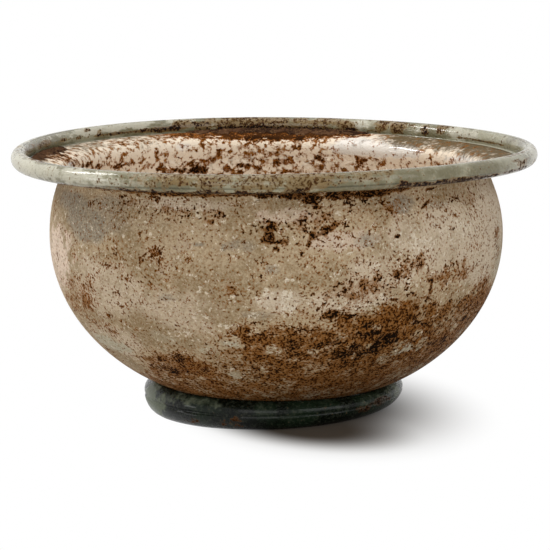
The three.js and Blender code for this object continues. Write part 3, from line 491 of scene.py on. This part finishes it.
class Nodes:
    """Short names for the nodes of one material."""

    def __init__(self, name):
        self.material = bpy.data.materials.new(name)
        self.material.use_nodes = True
        self.tree = self.material.node_tree
        self.tree.nodes.clear()
        self.out = self.tree.nodes.new("ShaderNodeOutputMaterial")
        self.place = self.tree.nodes.new("ShaderNodeTexCoord").outputs["Object"]

    def new(self, kind, **inputs):
        node = self.tree.nodes.new(kind)
        for key, value in inputs.items():
            self.put(node.inputs[key.replace("_", " ")], value)
        return node

    def put(self, socket, value):
        if isinstance(value, bpy.types.NodeSocket):
            self.tree.links.new(value, socket)
        else:
            socket.default_value = value

    def math(self, operation, a, b):
        node = self.tree.nodes.new("ShaderNodeMath")
        node.operation = operation
        self.put(node.inputs[0], a)
        self.put(node.inputs[1], b)
        return node.outputs[0]

    def add(self, *values):
        total = values[0]
        for value in values[1:]:
            total = self.math("ADD", total, value)
        return total

    def times(self, a, b):
        return self.math("MULTIPLY", a, b)

    def attribute(self, name):
        node = self.tree.nodes.new("ShaderNodeAttribute")
        node.attribute_name = name
        return node.outputs["Fac"]

    def noise(self, size_mm, detail, rough, twist=0.0):
        """Uneven numbers about 0, mostly between -2 and 2, whose largest grains have the size given."""
        node = self.new("ShaderNodeTexNoise", Vector=self.place, Scale=1 / (size_mm * MM), Detail=detail,
                        Roughness=rough, Distortion=twist)
        return self.times(self.add(node.outputs["Fac"], -0.5), NOISE_GAIN)

    def cells(self, size_mm):
        """0 at the middle of rounded cells and about 1 between them."""
        node = self.new("ShaderNodeTexVoronoi", Vector=self.place, Scale=1 / (size_mm * MM), Randomness=1.0)
        return node.outputs["Distance"]

    def ramp(self, value, low, high, to_low=0.0, to_high=1.0):
        """to_low below low, to_high above high, smooth between."""
        node = self.tree.nodes.new("ShaderNodeMapRange")
        node.interpolation_type = "SMOOTHSTEP"
        self.put(node.inputs["Value"], value)
        for key, number in (("From Min", low), ("From Max", high), ("To Min", to_low), ("To Max", to_high)):
            node.inputs[key].default_value = number
        return node.outputs["Result"]

    def mix(self, share, a, b, blend="MIX"):
        node = self.tree.nodes.new("ShaderNodeMix")
        node.data_type = "RGBA"
        node.blend_type = blend
        self.put(node.inputs["Factor"], share)
        self.put(node.inputs[6], a)
        self.put(node.inputs[7], b)
        return node.outputs[2]

    def finish(self, shader):
        self.tree.links.new(shader, self.out.inputs["Surface"])
        return self.material


def rgb(r, g, b):
    """A colour as seen on a screen, 0 to 255, as linear light."""
    def linear(v):
        v /= 255
        return v / 12.92 if v <= 0.04045 else ((v + 0.055) / 1.055) ** 2.4
    return (linear(r), linear(g), linear(b), 1.0)


NOISE_GAIN = 16.5
STAIN = rgb(158, 104, 50)
WASH = rgb(127, 81, 29)
RUST = rgb(140, 82, 29)
BROWN = rgb(76, 41, 9)
DARK = rgb(46, 23, 4)
BLACK = rgb(14, 6, 1)
OLIVE_TONES = (rgb(122, 97, 55), rgb(128, 104, 62), rgb(98, 74, 38))
FOOT_TONES = (rgb(56, 46, 28), rgb(90, 62, 36), rgb(82, 54, 28))


def fields(n, grain_size=1.25):
    """The uneven numbers that one material's layers share, from broad to tiny."""
    return (n.noise(26, 4, 0.6), n.noise(12, 4, 0.6), n.noise(4.5, 4, 0.6), n.noise(grain_size, 3, 0.65),
            n.noise(0.8, 2, 0.5))


def tinted(n, colour, tints, patch, clump, grain):
    """Colours that show where the mesh's attributes say, with broken edges."""
    for name, tint, softness in tints:
        reach = n.add(n.attribute(name), n.times(patch, 0.07), n.times(clump, 0.05), n.times(grain, 0.04))
        colour = n.mix(n.ramp(reach, 0.45 - softness, 0.45 + softness), colour, tint)
    return colour


def soiled(n, colour, noises, soil, dark, rare, dense, wash=0.9, tones=(WASH, STAIN, RUST), pepper=0.85):
    """Soil over a colour: a wash where it is dense, and specks of stain, rust, brown, dark and black."""
    broad, patch, clump, grain, tiny = noises
    wash_colour, stain, rust = tones
    dense = n.add(dense, n.times(patch, 0.12), n.times(clump, 0.1), n.times(grain, 0.05))
    wash_colour = n.mix(n.ramp(dark, 0.3, 1.3, 0.0, 0.8), wash_colour, BROWN)
    colour = n.mix(n.ramp(dense, 0.3, 0.95, 0.0, wash), colour, wash_colour)
    cover = n.add(n.times(grain, 0.95), n.times(tiny, pepper), n.times(clump, 0.3), n.times(patch, 0.25),
                  n.times(soil, 3.1), -rare)
    colour = n.mix(n.ramp(cover, -1.6, -0.2, 0.0, 0.62), colour, stain)
    brown = n.ramp(cover, -0.1, 0.5, 0.0, 0.95)
    hue = n.add(n.times(clump, 0.3), n.times(tiny, 0.25), n.times(dark, 1.6))
    colour = n.mix(brown, colour, n.mix(n.ramp(hue, -0.3, 1.5), rust, BROWN))
    deep = n.add(cover, n.times(tiny, 0.4), n.times(dark, 1.7), -1.3)
    colour = n.mix(n.times(n.ramp(deep, 1.1, 1.9, 0.0, 0.95), n.ramp(dark, 0.0, 0.4, 0.45, 1.0)), colour, DARK)
    colour = n.mix(n.times(n.ramp(deep, 2.1, 3.0, 0.0, 0.95), n.ramp(dark, 0.2, 0.7)), colour, BLACK)
    height = n.add(n.times(brown, 0.6), n.times(n.ramp(deep, 0.5, 3.0), 0.7), n.times(tiny, 0.1), n.times(grain, 0.08))
    return colour, brown, height


def shaded(n, colour, rough, height, depth_mm, specular, coat=0.0):
    bump = n.new("ShaderNodeBump", Strength=1.0, Distance=depth_mm * MM, Height=height)
    shader = n.new("ShaderNodeBsdfPrincipled", Base_Color=colour, Roughness=rough, Normal=bump.outputs[0])
    shader.inputs["Specular IOR Level"].default_value = specular
    n.put(shader.inputs["Coat Weight"], coat)
    shader.inputs["Coat Roughness"].default_value = 0.06
    return n.finish(shader.outputs[0])


def film_material(name, crust=0.0):
    """The wall's outside: a tan film over the glass, mottled, flecked and soiled."""
    n = Nodes(name)
    noises = broad, patch, clump, grain, tiny = fields(n)
    colour = n.mix(n.ramp(n.add(broad, n.times(patch, 0.6)), -1.4, 1.4), rgb(153, 133, 103), rgb(178, 157, 127))
    colour = tinted(n, colour, (("cream", rgb(202, 186, 164), 0.4), ("pink", rgb(218, 198, 180), 0.4),
                                ("cool", rgb(142, 133, 117), 0.45), ("green", rgb(182, 175, 154), 0.3)),
                    patch, clump, grain)
    fleck = n.add(n.noise(1.5, 4, 0.7), n.times(clump, -0.4), n.times(n.attribute("pale"), 2.2))
    colour = n.mix(n.ramp(fleck, 1.7, 2.6, 0.0, 0.85), colour, rgb(222, 211, 192))
    mottle = n.add(n.times(tiny, 0.5), n.times(grain, 0.6))
    colour = n.mix(n.ramp(mottle, -0.5, 2.2, 0.0, 0.4), colour, rgb(120, 90, 56))
    colour = n.mix(n.ramp(mottle, -2.2, 0.2, 0.35, 0.0), colour, rgb(208, 190, 162))
    soil = n.add(n.attribute("soil"), crust)
    colour, brown, height = soiled(n, colour, noises, soil, n.attribute("dark"), 3.25, n.attribute("dense"))
    rough = n.ramp(brown, 0.0, 1.0, 0.55, 0.85)
    return shaded(n, colour, rough, height, 0.4, 0.04)


def inner_material(name, crust=0.0):
    """The wall's inside: a cream film in small rounded flakes, with soil between them."""
    n = Nodes(name)
    noises = broad, patch, clump, grain, tiny = fields(n, 2.4)
    gaps = n.add(n.cells(2.3), n.times(clump, 0.12), n.times(grain, 0.1), n.times(tiny, 0.04))
    flakes = n.ramp(gaps, 0.5, 0.95, 1.0, 0.0)
    colour = n.mix(flakes, rgb(150, 108, 64), rgb(230, 215, 194))
    uneven = n.add(n.times(patch, 0.1), n.times(grain, 0.06))
    clean = n.ramp(n.add(n.attribute("clean"), uneven), 0.3, 0.8)
    colour = n.mix(clean, colour, rgb(222, 214, 203))
    flange = n.ramp(n.add(n.attribute("green"), n.times(patch, 0.12), n.times(grain, 0.12)), 0.05, 0.95)
    colour = n.mix(flange, colour, rgb(94, 79, 55))
    soil = n.add(n.attribute("soil"), crust, n.times(clean, -0.3), n.times(flakes, -0.3), n.times(flange, -0.5))
    colour, brown, height = soiled(n, colour, noises, soil, n.attribute("dark"), 2.45, soil, 0.45, pepper=0.3)
    height = n.add(height, n.times(n.math("SUBTRACT", 1.0, clean), n.times(flakes, 0.5)))
    rough = n.add(n.ramp(brown, 0.0, 1.0, 0.5, 0.85), n.times(clean, -0.2))
    bare = n.math("SUBTRACT", 1.0, brown)
    return shaded(n, colour, rough, height, 0.3, 0.03, n.times(n.times(clean, bare), 0.8))


def packed_material():
    """Smooth dark soil packed in the gutter."""
    n = Nodes("packed_soil")
    broad, patch, clump, grain, tiny = fields(n)
    colour = n.mix(n.ramp(n.add(clump, n.times(patch, 0.6)), -1.5, 1.5), rgb(44, 27, 17), rgb(82, 56, 38))
    colour = n.mix(n.ramp(n.add(grain, n.times(tiny, 0.6)), 0.6, 2.2, 0.0, 0.6), colour, rgb(112, 84, 56))
    height = n.add(n.times(clump, 0.2), n.times(grain, 0.1), n.times(tiny, 0.05))
    return shaded(n, colour, 0.85, height, 0.2, 0.03)


def glass_material(name, deep, light, film, tones, rare, wash, specular, coat, rough_glass):
    """Glossy glass that shows its own colour, under a broken film and soil, with painted shade along the bead's crease
    and, on the foot, painted sheen in the pale film.
    """
    n = Nodes(name)
    noises = broad, patch, clump, grain, tiny = fields(n, 1.6)
    colour = n.mix(n.ramp(n.add(broad, n.times(patch, 0.8)), -1.6, 1.6), deep, light)
    colour = n.mix(n.ramp(grain, -0.5, 2.5, 0.0, 0.12), colour, film)
    # The pale film, which on the foot also holds painted sheen and highlights
    filmy = n.ramp(n.add(n.attribute("pale"), n.times(patch, 0.12), n.times(clump, 0.08)), 0.2, 0.8)
    colour = n.mix(n.times(filmy, 0.85), colour, film)
    # Painted shade: darker along the crease of the bead, where the 'line' attribute says
    colour = n.mix(n.attribute("line"), colour, deep, "MULTIPLY")
    soil = n.attribute("soil")
    colour, brown, height = soiled(n, colour, noises, soil, n.attribute("dark"), rare, soil, wash, tones, 0.3)
    rough = n.add(rough_glass, n.times(filmy, 0.15), n.times(brown, 0.6), n.ramp(patch, -1.0, 2.0, 0.0, 0.1))
    bare = n.math("SUBTRACT", 1.0, brown)
    return shaded(n, colour, rough, height, 0.25, specular, n.times(bare, coat))


FILM = film_material("weathered_film")
INNER = inner_material("inner_film")
RIM_GLASS = glass_material("pale_glass", rgb(112, 106, 78), rgb(152, 148, 124), rgb(190, 186, 168), OLIVE_TONES,
                           3.5, 0.9, 0.12, 0.45, 0.16)
FOOT_GLASS = glass_material("dark_glass", rgb(8, 13, 7), rgb(21, 32, 20), rgb(104, 110, 92), FOOT_TONES,
                            4.9, 0.25, 0.05, 0.18, 0.14)
CRUST = film_material("dry_soil", 0.1)
INNER_SOIL_CRUST = inner_material("inner_soil", 0.1)
PACKED_SOIL = packed_material()


def settle(piece, node):
    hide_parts(node)
    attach(piece, "root")


def outer_soil(points, angle, height):
    ragged = wander(points, 5, 1) * 0.5
    smooth = wander(points, 14, 2) * 0.2
    uneven = wander(points, 20, 6)
    line = np.interp(angle, *zip(*SOIL_LINE), period=360)
    low = np.clip((line - height + 9 * ragged + 4 * uneven) / 11 + 0.5, 0, 1)
    soil = np.maximum(1.08 * patch_sum(WALL_SOIL, angle, height, ragged), 0.35 * uneven)
    soil = np.maximum(soil, low * (0.92 + 0.16 * uneven))
    bare = patch_sum(WALL_BARE, angle, height, ragged)
    dark = np.maximum(patch_sum(WALL_SOIL, angle, height, ragged, 5), low * 0.4)
    broad = [patch for patch in WALL_SOIL if patch[2] * patch[3] > 12 or patch[5] > 0.9]
    dense = np.maximum(patch_sum(broad, angle, height, ragged), low * (0.82 + 0.16 * uneven))
    return ragged, smooth, soil * (1 - bare) + 0.3 * bare, dark, dense * (1 - bare)


def soil_inside(points, angle, height):
    ragged = wander(points, 3.5, 1) * 0.5
    soil = np.maximum(patch_sum(INNER_SOIL, angle, height, ragged), 0.42 + 0.15 * wander(points, 20, 6))
    return soil, 0.55 * patch_sum(INNER_SOIL, angle, height, ragged, 5)


def make_wall():
    sparse = [p for i, p in enumerate(INSIDE) if p[1] > 60 or i % 2 == 0]
    outline = OUTSIDE + sparse[::-1]
    inner_from = len(OUTSIDE)
    wall = turned("bowl_wall_glass", outline, (FILM, INNER), lambda k: 0 if k + 1 < inner_from else 1,
                  closed=False, turns=WALL_TURNS)
    ring = outline[1:-1]
    count = len(ring)
    columns = len(WALL_TURNS)
    angle = np.append(np.repeat(WALL_TURNS, count), (0, 0))
    height = np.append(np.tile([z for _, z in ring], columns), (BASE_LIFT, BASE_LIFT))
    outer = np.append(np.tile(np.arange(count) + 1 < inner_from, columns), (True, False))
    points = np.array([v.co for v in wall.data.vertices]) / MM
    ragged, smooth, soil, dark, dense = outer_soil(points, angle, height)
    inner_soil, inner_dark = soil_inside(points, angle, height)
    paint(wall.data, "soil", np.where(outer, soil, inner_soil))
    paint(wall.data, "dark", np.where(outer, dark, inner_dark))
    paint(wall.data, "dense", np.where(outer, dense, inner_soil))
    flange = np.clip((height - 94.6) / 4, 0, 1)
    grey_ends = np.clip(abs((angle + 85) % 360 - 175) / 12 - 2.1, 0, 1)
    grey_ends = grey_ends * (0.7 + 0.3 * np.cos(np.radians(angle)))
    for name, patches, edge in (("cool", WALL_COOL, smooth), ("cream", WALL_CREAM, smooth), ("green", WALL_GREEN, ragged),
                                ("pink", WALL_PINK, ragged), ("pale", WALL_PALE, ragged)):
        inner = flange * grey_ends if name == "green" else 0
        paint(wall.data, name, np.where(outer, patch_sum(patches, angle, height, edge), inner))
    clean = patch_sum(INNER_CLEAN, angle, height, smooth) * (1 - flange * grey_ends)
    paint(wall.data, "clean", np.where(outer, 0, clean))
    settle(wall, "bowl_wall")


def make_rim():
    slit = 3.0
    sections = [lerp(-90, CREASE_ANGLE - slit, i / 44) for i in range(45)]
    heel = 180 + math.degrees(math.asin(1 - FLANGE_THICKNESS / BEAD_B))
    after = [lerp(CREASE_ANGLE + slit, heel, i / 14) for i in range(15)]
    outline = [(TAIL_END, BEAD_BOTTOM)] + [bead_point(a) for a in sections] + [bead_point(CREASE_ANGLE, 0.5)]
    outline += [bead_point(a) for a in after] + [(TAIL_END, BEAD_BOTTOM + FLANGE_THICKNESS)]
    rim = turned("rolled_rim_glass", outline, (RIM_GLASS,))
    around = np.array([-90] + sections + [CREASE_ANGLE] + after + [heel])
    angle = np.repeat(np.arange(TURNS) * 360 / TURNS, len(outline))
    section = np.tile(around, TURNS)
    points = np.array([v.co for v in rim.data.vertices]) / MM
    ragged = wander(points, 5, 3) * 0.6
    crease = np.tile(np.array([a == CREASE_ANGLE for a in around]), TURNS)
    paint(rim.data, "soil", np.where(crease, 1.2, patch_sum(RIM_SOIL, angle, section, ragged)))
    paint(rim.data, "dark", np.where(crease, 0.8, patch_sum(RIM_SOIL, angle, section, ragged, 5)))
    paint(rim.data, "pale", patch_sum(RIM_PALE, angle, section, ragged))
    # Painted shade along the crease low on the front of the bead, only on the side the camera sees
    middle = -24 - np.clip((247 - angle) / 14, 0, 1) * 14
    shown = np.clip((angle - 226) / 8, 0, 1) * np.clip((335 - angle) / 20, 0, 1)
    paint(rim.data, "line", np.exp(-((section - middle) / 6) ** 2) * 0.7 * shown)
    settle(rim, "rolled_rim")


FOLD_POINTS = {8: 0.5, 9: 1.0, 10: 0.6}
FOOT_OUTLINE = [
    (FOOT_CORNER, 0), (4.7, 0.016), (3.6, 0.052), (2.6, 0.108), (1.7, 0.185), (1.0, 0.275), (0.45, 0.375),
    (0.12, 0.46), (0.14, 0.5), (0.3, 0.53), (0.12, 0.57), (0, 0.62), (0.02, 0.68), (0.2, 0.74), (0.6, 0.8),
    (1.2, 0.86), (2.0, 0.92), (3.0, 0.97), (FOOT_SEAT_INSET, 1), (FOOT_WIDTH * 0.45, 1), (FOOT_WIDTH * 0.7, 1),
    (FOOT_WIDTH - 0.6, 1), (FOOT_WIDTH - 0.1, 0.9), (FOOT_WIDTH, 0.75), (FOOT_WIDTH - 0.1, 0.55),
    (FOOT_WIDTH - 0.4, 0.35), (FOOT_WIDTH - 1.0, 0.17), (FOOT_WIDTH - 1.8, 0.06), (FOOT_CORNER + FOOT_LAND, 0),
]


def foot_section(turn, k, r, z):
    degrees = math.degrees(turn) % 360
    lap = smoothstep(degrees, FOLD_FROM, FOLD_FROM + 14) * (1 - smoothstep(degrees, FOLD_TO - 30, FOLD_TO))
    radius = r - FOLD_DEPTH * lap * FOLD_POINTS.get(k, 0)
    seat = min(radius, FOOT_RADIUS - FOOT_SEAT_INSET)
    seat_from_axis = math.hypot(seat * math.cos(turn) + FOOT_SHIFT, seat * math.sin(turn))
    height = underside_at(seat_from_axis) - SEAT_GAP
    return to_frame(radius * math.cos(turn) + FOOT_SHIFT, radius * math.sin(turn), z * height)


def make_foot():
    outline = [(FOOT_RADIUS - inset, share) for inset, share in FOOT_OUTLINE]
    foot = turned("foot_ring_glass", outline, (FOOT_GLASS,), section=foot_section)
    angle = np.repeat(np.arange(TURNS) * 360 / TURNS, len(outline))
    share = np.tile(np.array([z for _, z in outline]) * 100, TURNS)
    points = np.array([v.co for v in foot.data.vertices]) / MM
    ragged = wander(points, 4, 4) * 0.6
    paint(foot.data, "soil", patch_sum(FOOT_SOIL, angle, share, ragged))
    paint(foot.data, "dark", patch_sum(FOOT_SOIL, angle, share, ragged, 5))
    # The foot's pale film also carries its painted sheen and highlights
    paint(foot.data, "pale", patch_sum(FOOT_FILM_AND_PAINTED_LIGHT, angle, share, ragged))
    settle(foot, "foot_ring")


def make_lumpy(node, material, lump, levels=2):
    """A node's own mesh, cut finer and roughened by noise."""
    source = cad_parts[node]
    mesh = source.data.copy()
    bm = bmesh.new()
    bm.from_mesh(mesh)
    bmesh.ops.remove_doubles(bm, verts=bm.verts, dist=1e-6)
    bmesh.ops.subdivide_edges(bm, edges=bm.edges, cuts=levels, use_grid_fill=True)
    bm.normal_update()
    for v in bm.verts:
        v.co += v.normal * lump * MM * (noise.fractal(v.co / MM / 2.5, 0.7, 2.0, 4) * 0.8)
    for f in bm.faces:
        f.smooth = True
    bm.to_mesh(mesh)
    bm.free()
    mesh.materials.clear()
    mesh.materials.append(material)
    piece = bpy.data.objects.new(node + "_lumps", mesh)
    bpy.context.scene.collection.objects.link(piece)
    settle(piece, node)


# Crusts on the wall's skin: inside or outside, angles, heights, thickness, as the frame's solids
SKIN_CRUSTS = {
    "under_rim_crust": (False, (262, 306), (92, 96.4), 0.9),
    "inner_crust": (True, (52, 128), (72, 90), 0.9),
    "belly_crust": (False, (277, 318), (29, 54), 0.6),
}
CRUST_STEP = 0.45
CRUST_SEAT = 0.05
THINNEST = 0.08


def skin_at(is_inside, z):
    """Radius, height and outward normal of the wall's skin at a height."""
    line = INSIDE if is_inside else OUTSIDE
    for (r0, z0), (r1, z1) in zip(line[BASE_STEPS:], line[BASE_STEPS + 1:]):
        if z1 >= z:
            t = (z - z0) / (z1 - z0)
            length = math.hypot(r1 - r0, z1 - z0)
            return lerp(r0, r1, t), z, (z1 - z0) / length, -(r1 - r0) / length
    raise ValueError(z)


def whole_cells(keep):
    """Drops cells that touch others only at a corner, and specks of fewer than 12 cells."""
    changed = True
    while changed:
        a, b, c, d = keep[:-1, :-1], keep[1:, :-1], keep[:-1, 1:], keep[1:, 1:]
        one = a & d & ~b & ~c
        other = b & c & ~a & ~d
        changed = bool(one.any() or other.any())
        keep[:-1, :-1] &= ~one
        keep[1:, :-1] &= ~other
    rows, columns = keep.shape
    label = np.zeros(keep.shape, int)
    for start in zip(*np.nonzero(keep)):
        if label[start]:
            continue
        island, edge = [start], [start]
        label[start] = 1
        while edge:
            i, j = edge.pop()
            for place in ((i + 1, j), (i - 1, j), (i, j + 1), (i, j - 1)):
                if 0 <= place[0] < rows and 0 <= place[1] < columns and keep[place] and not label[place]:
                    label[place] = 1
                    island.append(place)
                    edge.append(place)
        if len(island) < 12:
            for place in island:
                keep[place] = False
    return keep


def make_skin_crust(node, is_inside, angles, heights, thickness):
    """Ragged islands of crust on the wall, thin at their edges, closed underneath."""
    low, high = heights
    middle, half = (low + high) / 2, (high - low) / 2
    centre, spread = (angles[0] + angles[1]) / 2, (angles[1] - angles[0]) / 2
    radius = skin_at(is_inside, middle)[0]
    columns = int(math.radians(2 * spread) * radius / CRUST_STEP)
    rows = int(2 * half / CRUST_STEP)
    top, seat, spots, depth = [], [], [], np.zeros((rows + 1, columns + 1))
    for i in range(rows + 1):
        up = 2 * i / rows - 1
        r, z, out_r, out_z = skin_at(is_inside, middle + up * half)
        side = -1 if is_inside else 1
        for j in range(columns + 1):
            across = 2 * j / columns - 1
            turn = math.radians(centre + across * spread)
            place = Vector((r * math.cos(turn), r * math.sin(turn), z))
            lumps = noise.fractal(place / 2.2, 0.8, 2.0, 4)
            wide = noise.fractal(place / 9, 0.8, 2.0, 3)
            body = 1 - across ** 4 - up ** 4 + 0.9 * wide + 0.5 * lumps
            rise = smoothstep(body, 0.15, 1.2) * (0.6 + 0.55 * lumps)
            depth[i, j] = thickness * min(max(rise, 0), 1)
            spots.append((math.degrees(turn), z))
            for points, off in ((top, CRUST_SEAT + max(depth[i, j], 0.02)), (seat, CRUST_SEAT)):
                points.append(to_frame((r + side * out_r * off) * math.cos(turn),
                                       (r + side * out_r * off) * math.sin(turn), z + side * out_z * off))
    cell = (depth[:-1, :-1] + depth[1:, :-1] + depth[:-1, 1:] + depth[1:, 1:]) / 4
    keep = whole_cells(cell > THINNEST)
    faces = []
    count = (rows + 1) * (columns + 1)

    def corner(i, j):
        return i * (columns + 1) + j

    for i, j in zip(*(v.tolist() for v in np.nonzero(keep))):
        a, b, c, d = corner(i, j), corner(i, j + 1), corner(i + 1, j + 1), corner(i + 1, j)
        faces += [(a, b, c, d), (a + count, d + count, c + count, b + count)]
        for (p, q), (di, dj) in (((a, b), (-1, 0)), ((b, c), (0, 1)), ((c, d), (1, 0)), ((d, a), (0, -1))):
            inside_grid = 0 <= i + di < rows and 0 <= j + dj < columns
            if not (inside_grid and keep[i + di, j + dj]):
                faces.append((p, p + count, q + count, q))
    used = sorted({k for face in faces for k in face})
    renumber = {k: i for i, k in enumerate(used)}
    verts = top + seat
    piece = mesh_object(node + "_islands", [verts[k] for k in used], [tuple(renumber[k] for k in f) for f in faces],
                        materials=(INNER_SOIL_CRUST if is_inside else CRUST,))
    angle, height = np.array(spots + spots)[used].T
    points = np.array([v.co for v in piece.data.vertices]) / MM
    if is_inside:
        soil, dark = dense, _ = soil_inside(points, angle, height)
    else:
        *_, soil, dark, dense = outer_soil(points, angle, height)
    paint(piece.data, "soil", soil)
    paint(piece.data, "dark", dark)
    paint(piece.data, "dense", dense)
    settle(piece, node)


# Soil in the gutter between flange and bead: angles, fill
GUTTER_CRUSTS = {"gutter_crust": (64, 112, 1.7), "left_gutter_crust": (154, 184, 1.2)}
GUTTER_REACH = 7.6


def flange_top_at(radius):
    for (r0, z0), (r1, z1) in zip(INSIDE[-17:], INSIDE[-16:]):
        if r1 >= radius:
            return lerp(z0, z1, (radius - r0) / (r1 - r0))
    return INSIDE[-1][1]


def make_gutter_crust(node, start, stop, fill):
    """Soil packed in the gutter, with a ragged inner edge and a lumpy top."""
    steps, across = int((stop - start) * 4), 12
    verts, faces = [], []
    loop = 2 * (across + 1)
    for j in range(steps + 1):
        share = j / steps
        full = math.sqrt(max(1 - (2 * share - 1) ** 4, 0))
        turn = math.radians(lerp(start, stop, share))
        spot = Vector((FLANGE_END * math.cos(turn), FLANGE_END * math.sin(turn), 0))
        ragged = noise.fractal(spot / 3.5, 0.8, 2.0, 4)
        reach = GUTTER_REACH * full * min(max(0.62 + 0.5 * ragged, 0.15), 1) + 0.1
        base, crown = [], []
        for k in range(across + 1):
            back = k / across
            radius = TAIL_END - reach * (1 - back) - 0.1
            ground = flange_top_at(radius) + 0.08
            place = Vector((radius * math.cos(turn), radius * math.sin(turn), ground))
            lumps = noise.fractal(place / 1.8, 0.8, 2.0, 4)
            rise = fill * full * (back ** 0.7) * (0.6 + 0.35 * lumps)
            base.append((radius, ground))
            crown.append((radius, ground + max(rise, 0.02) + 0.02))
        for r, z in base + crown[::-1]:
            verts.append(to_frame(r * math.cos(turn), r * math.sin(turn), z))
    for j in range(steps):
        for k in range(loop):
            a, b = j * loop + k, j * loop + (k + 1) % loop
            faces.append((a, b, b + loop, a + loop))
    faces.append(tuple(range(loop)))
    faces.append(tuple(steps * loop + k for k in reversed(range(loop))))
    piece = mesh_object(node + "_packed", verts, faces, materials=(PACKED_SOIL,))
    settle(piece, node)


def make_camera():
    """A long lens a metre away, a little above the rim and rolled slightly, as photographed."""
    pitch, roll = math.radians(9.567), math.radians(-2.536)
    aim = Vector((-1.887, -0.677, 52.327)) * MM
    back = Vector((0, -math.cos(pitch), math.sin(pitch)))
    right = Vector((1, 0, 0))
    up = back.cross(right)
    right, up = (math.cos(roll) * right + math.sin(roll) * up, -math.sin(roll) * right + math.cos(roll) * up)
    data = bpy.data.cameras.new("camera")
    data.sensor_width = 36
    data.lens = 2497.76 * 36 / 550
    camera = bpy.data.objects.new("camera", data)
    camera.matrix_world = Matrix.Translation(aim + back) @ Matrix((right, up, back)).transposed().to_4x4()
    bpy.context.scene.collection.objects.link(camera)
    bpy.context.scene.camera = camera


# Where each lamp stands, its width, height and power
LAMPS = {
    "key": ((-0.82, 0.22, 0.85), 0.2, 0.45, 6.5),
    "low": ((-1.1, -0.25, 0.16), 0.25, 0.3, 1.4),
    "sky": ((-0.15, 0.1, 1.3), 1.0, 1.0, 8.0),
    "right": ((0.9, -0.9, 0.5), 0.9, 0.9, 6.0),
    "front": ((-0.3, -1.25, 0.35), 0.8, 0.8, 4.6),
}
WORLD_LIGHT = 0.35
# The floor's colour is dark where it keeps the shadow, a painted shadow that deepens the rendered one, and pale beyond
SHADOW_FLOOR = (0.112, 0.092, 0.072, 1)
PALE_FLOOR = (0.56, 0.53, 0.48, 1)
# Two ovals whose product gives the shadow's edge: place, turn, length to width, where white begins and is full
SHADOW_OVALS = [
    ((0.0157, -0.0108, 0), 16.7, 1.662, 0.0128, 0.0646),
    ((0.0061, -0.0441, 0), 38.5, 1.961, 0.0111, 0.0329),
]


def seen_directly(tree):
    """1 for rays from the camera and for rays that gloss or glass sends on, 0 for the rest."""
    path = tree.nodes.new("ShaderNodeLightPath")
    total = path.outputs["Is Camera Ray"]
    for kind in ("Is Glossy Ray", "Is Transmission Ray"):
        node = tree.nodes.new("ShaderNodeMath")
        node.operation = "MAXIMUM"
        tree.links.new(total, node.inputs[0])
        tree.links.new(path.outputs[kind], node.inputs[1])
        total = node.outputs[0]
    return total


def make_lights():
    world = bpy.data.worlds.new("studio")
    bpy.context.scene.world = world
    world.use_nodes = True
    tree = world.node_tree
    tree.nodes.clear()
    back = tree.nodes.new("ShaderNodeBackground")
    back.inputs["Color"].default_value = (1, 1, 1, 1)
    seen = tree.nodes.new("ShaderNodeMapRange")
    seen.inputs["To Min"].default_value = WORLD_LIGHT
    tree.links.new(seen_directly(tree), seen.inputs["Value"])
    tree.links.new(seen.outputs["Result"], back.inputs["Strength"])
    out = tree.nodes.new("ShaderNodeOutputWorld")
    tree.links.new(back.outputs[0], out.inputs["Surface"])
    for name, (place, width, height, power) in LAMPS.items():
        data = bpy.data.lights.new(name, "AREA")
        data.shape = "RECTANGLE"
        data.size = width
        data.size_y = height
        data.energy = power
        lamp = bpy.data.objects.new(name, data)
        lamp.location = place
        lamp.rotation_euler = (Vector((0, 0, 0.05)) - Vector(place)).to_track_quat("-Z", "Y").to_euler()
        bpy.context.scene.collection.objects.link(lamp)


def make_floor():
    """A pale floor that keeps the bowl's shadow, deepened by a painted shadow in its colour, and turns white away from
    it.
    """
    n = Nodes("floor")
    glow = n.new("ShaderNodeEmission", Strength=1.0)
    glow.inputs["Color"].default_value = (1, 1, 1, 1)
    far = 1.0
    for place, turn, shape, white_from, white_at in SHADOW_OVALS:
        oval = n.new("ShaderNodeMapping", Vector=n.place, Location=place, Rotation=(0, 0, math.radians(turn)),
                     Scale=(1, shape, 1))
        oval.vector_type = "TEXTURE"
        away = n.tree.nodes.new("ShaderNodeVectorMath")
        away.operation = "LENGTH"
        n.put(away.inputs[0], oval.outputs[0])
        far = n.times(far, n.ramp(away.outputs["Value"], white_from, white_at))
    # Painted shadow: the floor's own colour darkens inside the ovals
    diffuse = n.new("ShaderNodeBsdfDiffuse", Color=n.mix(far, SHADOW_FLOOR, PALE_FLOOR))
    both = n.tree.nodes.new("ShaderNodeMixShader")
    n.put(both.inputs[0], n.times(far, seen_directly(n.tree)))
    n.put(both.inputs[1], diffuse.outputs[0])
    n.put(both.inputs[2], glow.outputs[0])
    below = n.tree.nodes.new("ShaderNodeMixShader")
    n.put(below.inputs[0], n.tree.nodes.new("ShaderNodeNewGeometry").outputs["Backfacing"])
    n.put(below.inputs[1], both.outputs[0])
    n.put(below.inputs[2], n.tree.nodes.new("ShaderNodeBsdfTransparent").outputs[0])
    n.finish(below.outputs[0])
    size = 30.0
    mesh = bpy.data.meshes.new("floor")
    mesh.from_pydata([(-size, -size, 0), (size, -size, 0), (size, size, 0), (-size, size, 0)], [], [(0, 1, 2, 3)])
    mesh.materials.append(n.material)
    floor = bpy.data.objects.new("floor", mesh)
    bpy.context.scene.collection.objects.link(floor)


make_camera()
make_lights()
make_floor()
make_wall()
make_rim()
make_foot()
make_lumpy("pontil_scar", FOOT_GLASS, 0.3, 3)
for crust, (is_inside, angles, heights, thickness) in SKIN_CRUSTS.items():
    make_skin_crust(crust, is_inside, angles, heights, thickness)
for crust, (start, stop, fill) in GUTTER_CRUSTS.items():
    make_gutter_crust(crust, start, stop, fill)

bpy.context.scene.view_settings.view_transform = "Standard"
